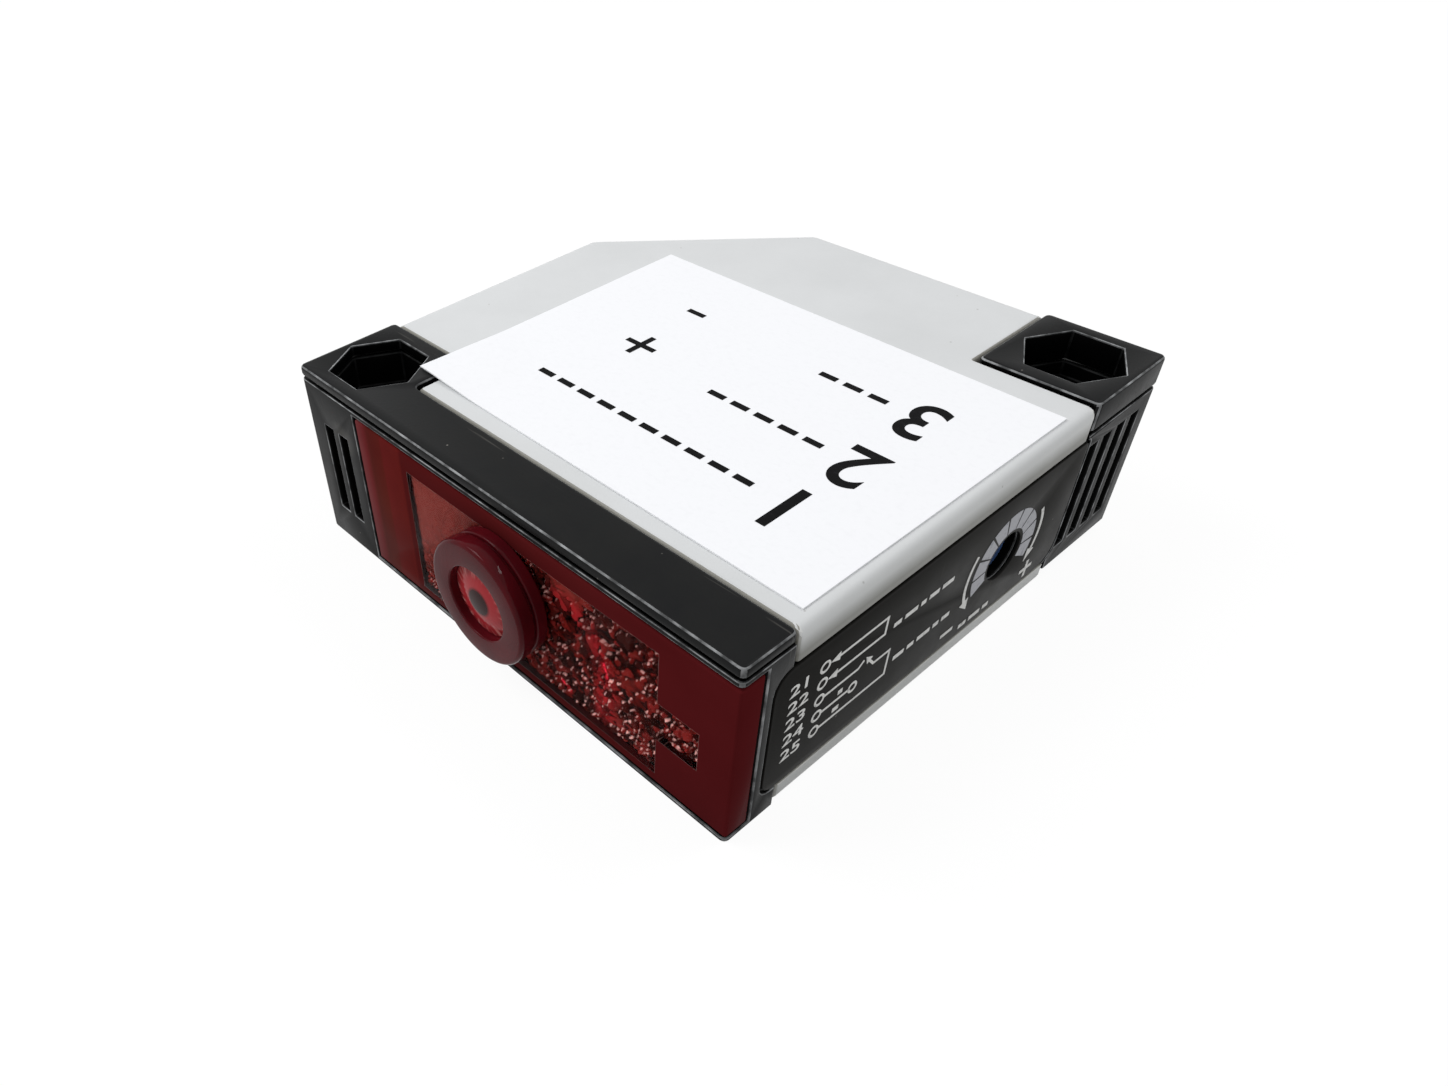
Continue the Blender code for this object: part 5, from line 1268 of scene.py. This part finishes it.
class SENSOR_OT_lens(bpy.types.Operator):
    """Lens with its fine flutes, and its flanged collar."""

    bl_idname = "sensor.lens"
    bl_label = "Lens and collar"

    def execute(self, context):
        out = Vector((0.0, -1.0, 0.0))
        face = Vector((AXIS.x, COLLAR_LOW.y, AXIS.z))
        piece("flanged_collar", lathe(collar_profile(), face, out, steps=128), "collar_red",
              ("lens_collar",))
        flutes = sizes().flutes

        def ripple(radius, angle):
            fluted = float(smoothstep(*FLUTE_RISE, radius)) * float(radius < FLUTE_END)
            return FLUTE_DEPTH * fluted * math.sin(flutes * angle)

        piece("fluted_lens", lathe(lens_profile(), face, out, steps=208, ripple=ripple), "polished_lens",
              ("lens",))
        return {"FINISHED"}


class SENSOR_OT_nameplate(bpy.types.Operator):
    """Nameplate with its wiring print."""

    bl_idname = "sensor.nameplate"
    bl_label = "Nameplate"

    def execute(self, context):
        piece("name_foil", eased_copy("nameplate", sizes().edge / 3), "label_black",
              ("nameplate",))
        work = bmesh.new()
        draw_wiring(work, label_place(0.0, 0.0))
        piece("wiring_print", finished(work, smooth=False), "label_ink")

        rings = grown(rings_tree(), {
            "Rings": TERMINAL_ROWS, "Radius": TERMINAL_RADIUS * MM, "Line Width": LINE_WIDTH * MM,
            "Pitch": TERMINAL_PITCH * MM, "Thickness": INK, "Material": look("label_ink")})
        rings.transform(label_place(TERMINAL_ALONG, TERMINAL_TOP) @ Matrix.Translation((0.0, 0.0, INK / 2)))
        piece("terminal_rings", finished(rings, smooth=False), "label_ink")
        return {"FINISHED"}


class SENSOR_OT_dial(bpy.types.Operator):
    """Printed scale and arrows round the trimmer, and the slotted rotor."""

    bl_idname = "sensor.dial"
    bl_label = "Sensitivity dial"

    def execute(self, context):
        along, up = (DIAL.y - LABEL_LOW.y) / MM, (DIAL.z - LABEL_LOW.z) / MM
        place = label_place(along, up)
        blocks = grown(scale_tree(), {
            "Blocks": SCALE_BLOCKS, "Inner Radius": SCALE_RADII[0], "Outer Radius": SCALE_RADII[1],
            "Start": SCALE_START, "Sweep": SCALE_SWEEP, "Gap": SCALE_GAP, "Thickness": INK,
            "Material": look("scale_ink")})
        blocks.transform(place)
        piece("dial_scale", finished(blocks, smooth=False), "scale_ink")
        work = bmesh.new()
        for start, end in ARROW_SPANS:
            band(work, fillet((0.0, 0.0), ARROW_RADIUS * MM, start, end, 14), ARROW_WIDTH * MM, INK, place)
            way = 1 if end > start else -1
            tip = [(ARROW_RADIUS, end + way * TIP_TURN), *[(radius, end - way) for radius in TIP_RADII]]
            plate(work, [(r * MM * math.cos(math.radians(a)), r * MM * math.sin(math.radians(a)))
                         for r, a in tip], OVER_INK, place)
        piece("dial_arrows", finished(work, smooth=False), "label_ink")
        piece("slotted_rotor", eased_copy("trimmer_rotor", sizes().edge), "nylon_blue",
              ("trimmer_rotor",), "trimmer")
        return {"FINISHED"}


class SENSOR_OT_sticker(bpy.types.Operator):
    """Paper sticker laid over the cover, with its print of numbers, signs and short bars."""

    bl_idname = "sensor.sticker"
    bl_label = "Paper sticker"

    def execute(self, context):
        columns, rows = STICKER_GRID
        work = bmesh.new()
        grid = {}
        for level in (0, 1):
            for i in range(columns + 1):
                for j in range(rows + 1):
                    x, y = (i / columns - 0.5) * STICKER_SIZE[0], (j / rows - 0.5) * STICKER_SIZE[1]
                    spot = Vector((x, y, level * PAPER))
                    grid[level, i, j] = work.verts.new(sticker_place() @ spot)
        for i in range(columns):
            for j in range(rows):
                for level in (0, 1):
                    around = ((i, j), (i + 1, j), (i + 1, j + 1), (i, j + 1))
                    corners = [grid[level, a, b] for a, b in around]
                    work.faces.new(corners if level else corners[::-1])
        rim = [(i, 0) for i in range(columns)] + [(columns, j) for j in range(rows)]
        rim += [(columns - i, rows) for i in range(columns)] + [(0, rows - j) for j in range(rows)]
        for (a, b), (c, d) in zip(rim, rim[1:] + rim[:1]):
            work.faces.new((grid[0, a, b], grid[0, c, d], grid[1, c, d], grid[1, a, b]))
        piece("paper_label", finished(laid(work, 0.0)), "sticker_paper", ("paper_sticker",))

        turn = Matrix.Rotation(math.pi, 4, "Z")
        work = bmesh.new()
        for k, (left, base, dashes) in enumerate(STICKER_ROWS):
            place = Matrix.Translation((left * MM, base * MM, 0.0)) @ turn
            number(work, str(k + 1), FIGURE_SIZE * MM, 0.0, 0.0, INK, place)
            for m in range(dashes):
                start = (DASH_START + m * DASH_PITCH) * MM
                bar(work, start, DASH_LOW * MM, start + DASH_LENGTH * MM, DASH_HIGH * MM, INK, place)
        for (x, y), across, up, ink in SIGN_BARS:
            place = Matrix.Translation((x * MM, y * MM, 0.0))
            bar(work, -across * MM, -up * MM, across * MM, up * MM, ink, place)
        piece("sticker_print", finished(laid(work, PAPER), smooth=False), "sticker_ink")
        return {"FINISHED"}


class SENSOR_OT_cable_inlet(bpy.types.Operator):
    """Ribbed rubber bushing in the cut corner."""

    bl_idname = "sensor.cable_inlet"
    bl_label = "Cable inlet"

    def execute(self, context):
        out = Vector((-1.0, 1.0, 0.0)).normalized()
        middle = (BUSHING_LOW + BUSHING_HIGH) / 2
        radius = (BUSHING_HIGH.z - BUSHING_LOW.z) / 2
        corner = Vector((CASE_LOW.x, CASE_HIGH.y, middle.z))
        mouth = corner - out * (CORNER_CUT / math.sqrt(2.0))
        neck, bore, proud, inner = radius - 0.9 * MM, radius - 2.1 * MM, 2.5 * MM, -4.1 * MM
        wall, flange = -2.9 * MM, 0.2 * MM
        profile = [
            (bore, proud - 0.3 * MM), *fillet((bore + 0.3 * MM, proud - 0.3 * MM), 0.3 * MM, 180, 90, 4),
            *fillet((radius - 1.1 * MM, proud - 0.4 * MM), 0.4 * MM, 90, 20, 4)]
        for k in range(3):
            height = proud - (0.75 + k * 0.6) * MM
            swell = radius - 0.55 * MM + k * 0.18 * MM
            profile += [(swell - 0.12 * MM, height),
                        *fillet((swell, height - 0.2 * MM), 0.16 * MM, 80, -80, 4)]
        profile += [(radius, flange + 0.1 * MM), (radius, flange), (neck, flange), (neck, wall),
                    (radius, wall), (radius, inner), (bore, inner)]
        piece("ribbed_bushing", lathe(profile, mouth, out, steps=96), "bushing_rubber",
              ("cable_bushing",))
        return {"FINISHED"}


class SENSOR_OT_inner_parts(bpy.types.Operator):
    """Finishes of the solids that keep their mesh, nearly all inside the housing."""

    bl_idname = "sensor.inner_parts"
    bl_label = "Inner parts"

    def execute(self, context):
        for finish, nodes in (
                ("case_black", ("lens_retainer", "optical_bench")), ("mirror_glass", ("half_mirror",)),
                ("emitter_epoxy", ("emitter_led",)), ("lamp_green", ("indicator_lamp_green",)),
                ("lamp_red", ("indicator_lamp_red",)), ("relay_moulding", ("output_relay",)),
                ("board_mask", ("receiver_board", "indicator_board", "main_board")),
                ("chip_epoxy", ("receiver_photodiode", "bridge_rectifier", "signal_chip")),
                ("shrunk_sleeve", ("smoothing_capacitor",)), ("pins_tinned", ("terminal_header",)),
                ("nylon_cream", ("cable_clamp", "trimmer_body"))):
            for node in nodes:
                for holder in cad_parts[node].material_slots:
                    holder.material = look(finish)
        return {"FINISHED"}


def shown_rays(tree):
    """1 for rays from the camera, in reflections and through clear pieces, 0 for rays that light things."""
    rays = add(tree, "ShaderNodeLightPath").outputs
    seen = add(tree, "ShaderNodeMath", {0: rays["Is Camera Ray"], 1: rays["Is Glossy Ray"]},
               operation="MAXIMUM")
    shown = add(tree, "ShaderNodeMath", {0: seen.outputs[0], 1: rays["Is Transmission Ray"]},
                operation="MAXIMUM")
    return shown.outputs[0]


def lay_floor(scene):
    """The pale floor under the sensor."""
    mesh = bpy.data.meshes.new("studio_floor")
    low = CAD_BOX[0].z - FLOOR_GAP
    corners = [(x * FLOOR_HALF, y * FLOOR_HALF, low) for x, y in ((-1, -1), (1, -1), (1, 1), (-1, 1))]
    mesh.from_pydata(corners, [], [(0, 1, 2, 3)])
    floor = bpy.data.objects.new("studio_floor", mesh)
    scene.collection.objects.link(floor)
    # White card: matt, shown nearly white to the camera and in reflections, with its shadow kept
    card, tree, shader, _ = material("white_card", Base_Color=linear("CCCCCC"), Roughness=0.9,
                                     Specular_IOR_Level=0.1)
    share = add(tree, "ShaderNodeMath", {0: shown_rays(tree), 1: FLOOR_SHARE}, operation="MULTIPLY")
    glow = add(tree, "ShaderNodeEmission", {"Color": (1.0, 1.0, 1.0, 1.0), "Strength": FLOOR_GLOW})
    both = add(tree, "ShaderNodeMixShader", {0: share.outputs[0], 1: shader.outputs[0],
                                             2: glow.outputs[0]})
    tree.links.new(both.outputs[0], tree.nodes["Material Output"].inputs["Surface"])
    mesh.materials.append(card)


def light_scene(scene, stage):
    """Even light from all round, shown as white, and two soft lamps."""
    world = bpy.data.worlds.new("studio_sky")
    scene.world = world
    world.use_nodes = True
    tree = world.node_tree
    strength = add(tree, "ShaderNodeMapRange", {0: shown_rays(tree), 3: stage.sky, 4: 1.0})
    tree.nodes["Background"].inputs["Color"].default_value = (1.0, 1.0, 1.0, 1.0)
    tree.links.new(strength.outputs[0], tree.nodes["Background"].inputs["Strength"])
    centre = Vector((0.0, 0.0, PLATE_HIGH.z / 2))
    for name, spot, size, share in LAMPS:
        lamp = bpy.data.lights.new(name, "AREA")
        lamp.shape = "SQUARE"
        lamp.size = size
        lamp.energy = stage.key * share
        holder = bpy.data.objects.new(name, lamp)
        holder.location = spot
        holder.rotation_euler = (centre - Vector(spot)).to_track_quat("-Z", "Y").to_euler()
        scene.collection.objects.link(holder)


def set_camera(scene, stage):
    """The camera at the photograph's angle, its picture shifted so that its axis lies off the middle."""
    lens = bpy.data.cameras.new("studio_camera")
    lens.lens = stage.focal
    lens.sensor_width = FILM_WIDTH
    lens.shift_x = 0.5 - stage.axis_x
    lens.shift_y = (stage.axis_y - 0.5) * IMAGE_HEIGHT / IMAGE_WIDTH
    lens.clip_start = CLIP_START
    lens.clip_end = CLIP_END
    camera = bpy.data.objects.new("studio_camera", lens)
    azimuth, elevation = stage.azimuth, stage.elevation
    back = Vector((math.sin(azimuth) * math.cos(elevation), -math.cos(azimuth) * math.cos(elevation),
                   math.sin(elevation)))
    right = (-back).cross(Vector((0.0, 0.0, 1.0))).normalized()
    up = right.cross(-back)
    turn = Matrix.Rotation(stage.roll, 3, back)
    right, up = turn @ right, turn @ up
    rotation = Matrix((right, up, back)).transposed().to_4x4()
    camera.matrix_world = Matrix.Translation(Vector(stage.target) + back * stage.distance) @ rotation
    scene.collection.objects.link(camera)
    scene.camera = camera


class SENSOR_OT_stage(bpy.types.Operator):
    """Pale floor, soft light and the camera at the photograph's angle."""

    bl_idname = "sensor.stage"
    bl_label = "Studio stage"

    def execute(self, context):
        scene = context.scene
        scene.view_settings.view_transform = "Standard"
        lay_floor(scene)
        light_scene(scene, scene.sensor_stage)
        set_camera(scene, scene.sensor_stage)
        return {"FINISHED"}


class SENSOR_PT_sidebar(bpy.types.Panel):
    """Settings and steps of the sensor in the 3D view's sidebar."""

    bl_idname = "SENSOR_PT_sidebar"
    bl_label = "Reflective Optical Sensor"
    bl_space_type = "VIEW_3D"
    bl_region_type = "UI"
    bl_category = "Sensor"

    def draw(self, context):
        for group in (context.scene.sensor_sizes, context.scene.sensor_colours, context.scene.sensor_stage):
            box = self.layout.box()
            for setting in group.__annotations__:
                box.prop(group, setting)
        for step in STEPS:
            self.layout.operator(step.bl_idname)


GROUPS = {"sensor_sizes": SensorSizes, "sensor_colours": SensorColours, "sensor_stage": SensorStage}
STEPS = (SENSOR_OT_shells, SENSOR_OT_window, SENSOR_OT_lens, SENSOR_OT_nameplate, SENSOR_OT_dial,
         SENSOR_OT_sticker, SENSOR_OT_cable_inlet, SENSOR_OT_inner_parts, SENSOR_OT_stage)


def register():
    """Registers the settings, the steps and the sidebar."""
    for made in (*GROUPS.values(), *STEPS, SENSOR_PT_sidebar):
        bpy.utils.register_class(made)
    for name, group in GROUPS.items():
        setattr(bpy.types.Scene, name, bpy.props.PointerProperty(type=group))


def unregister():
    """Takes the settings, the steps and the sidebar away again."""
    for name in GROUPS:
        delattr(bpy.types.Scene, name)
    for made in (SENSOR_PT_sidebar, *reversed(STEPS), *reversed(GROUPS.values())):
        bpy.utils.unregister_class(made)


def main():
    register()
    bpy.ops.sensor.shells()
    bpy.ops.sensor.window()
    bpy.ops.sensor.lens()
    bpy.ops.sensor.nameplate()
    bpy.ops.sensor.dial()
    bpy.ops.sensor.sticker()
    bpy.ops.sensor.cable_inlet()
    bpy.ops.sensor.inner_parts()
    bpy.ops.sensor.stage()


if __name__ == "__main__":
    main()
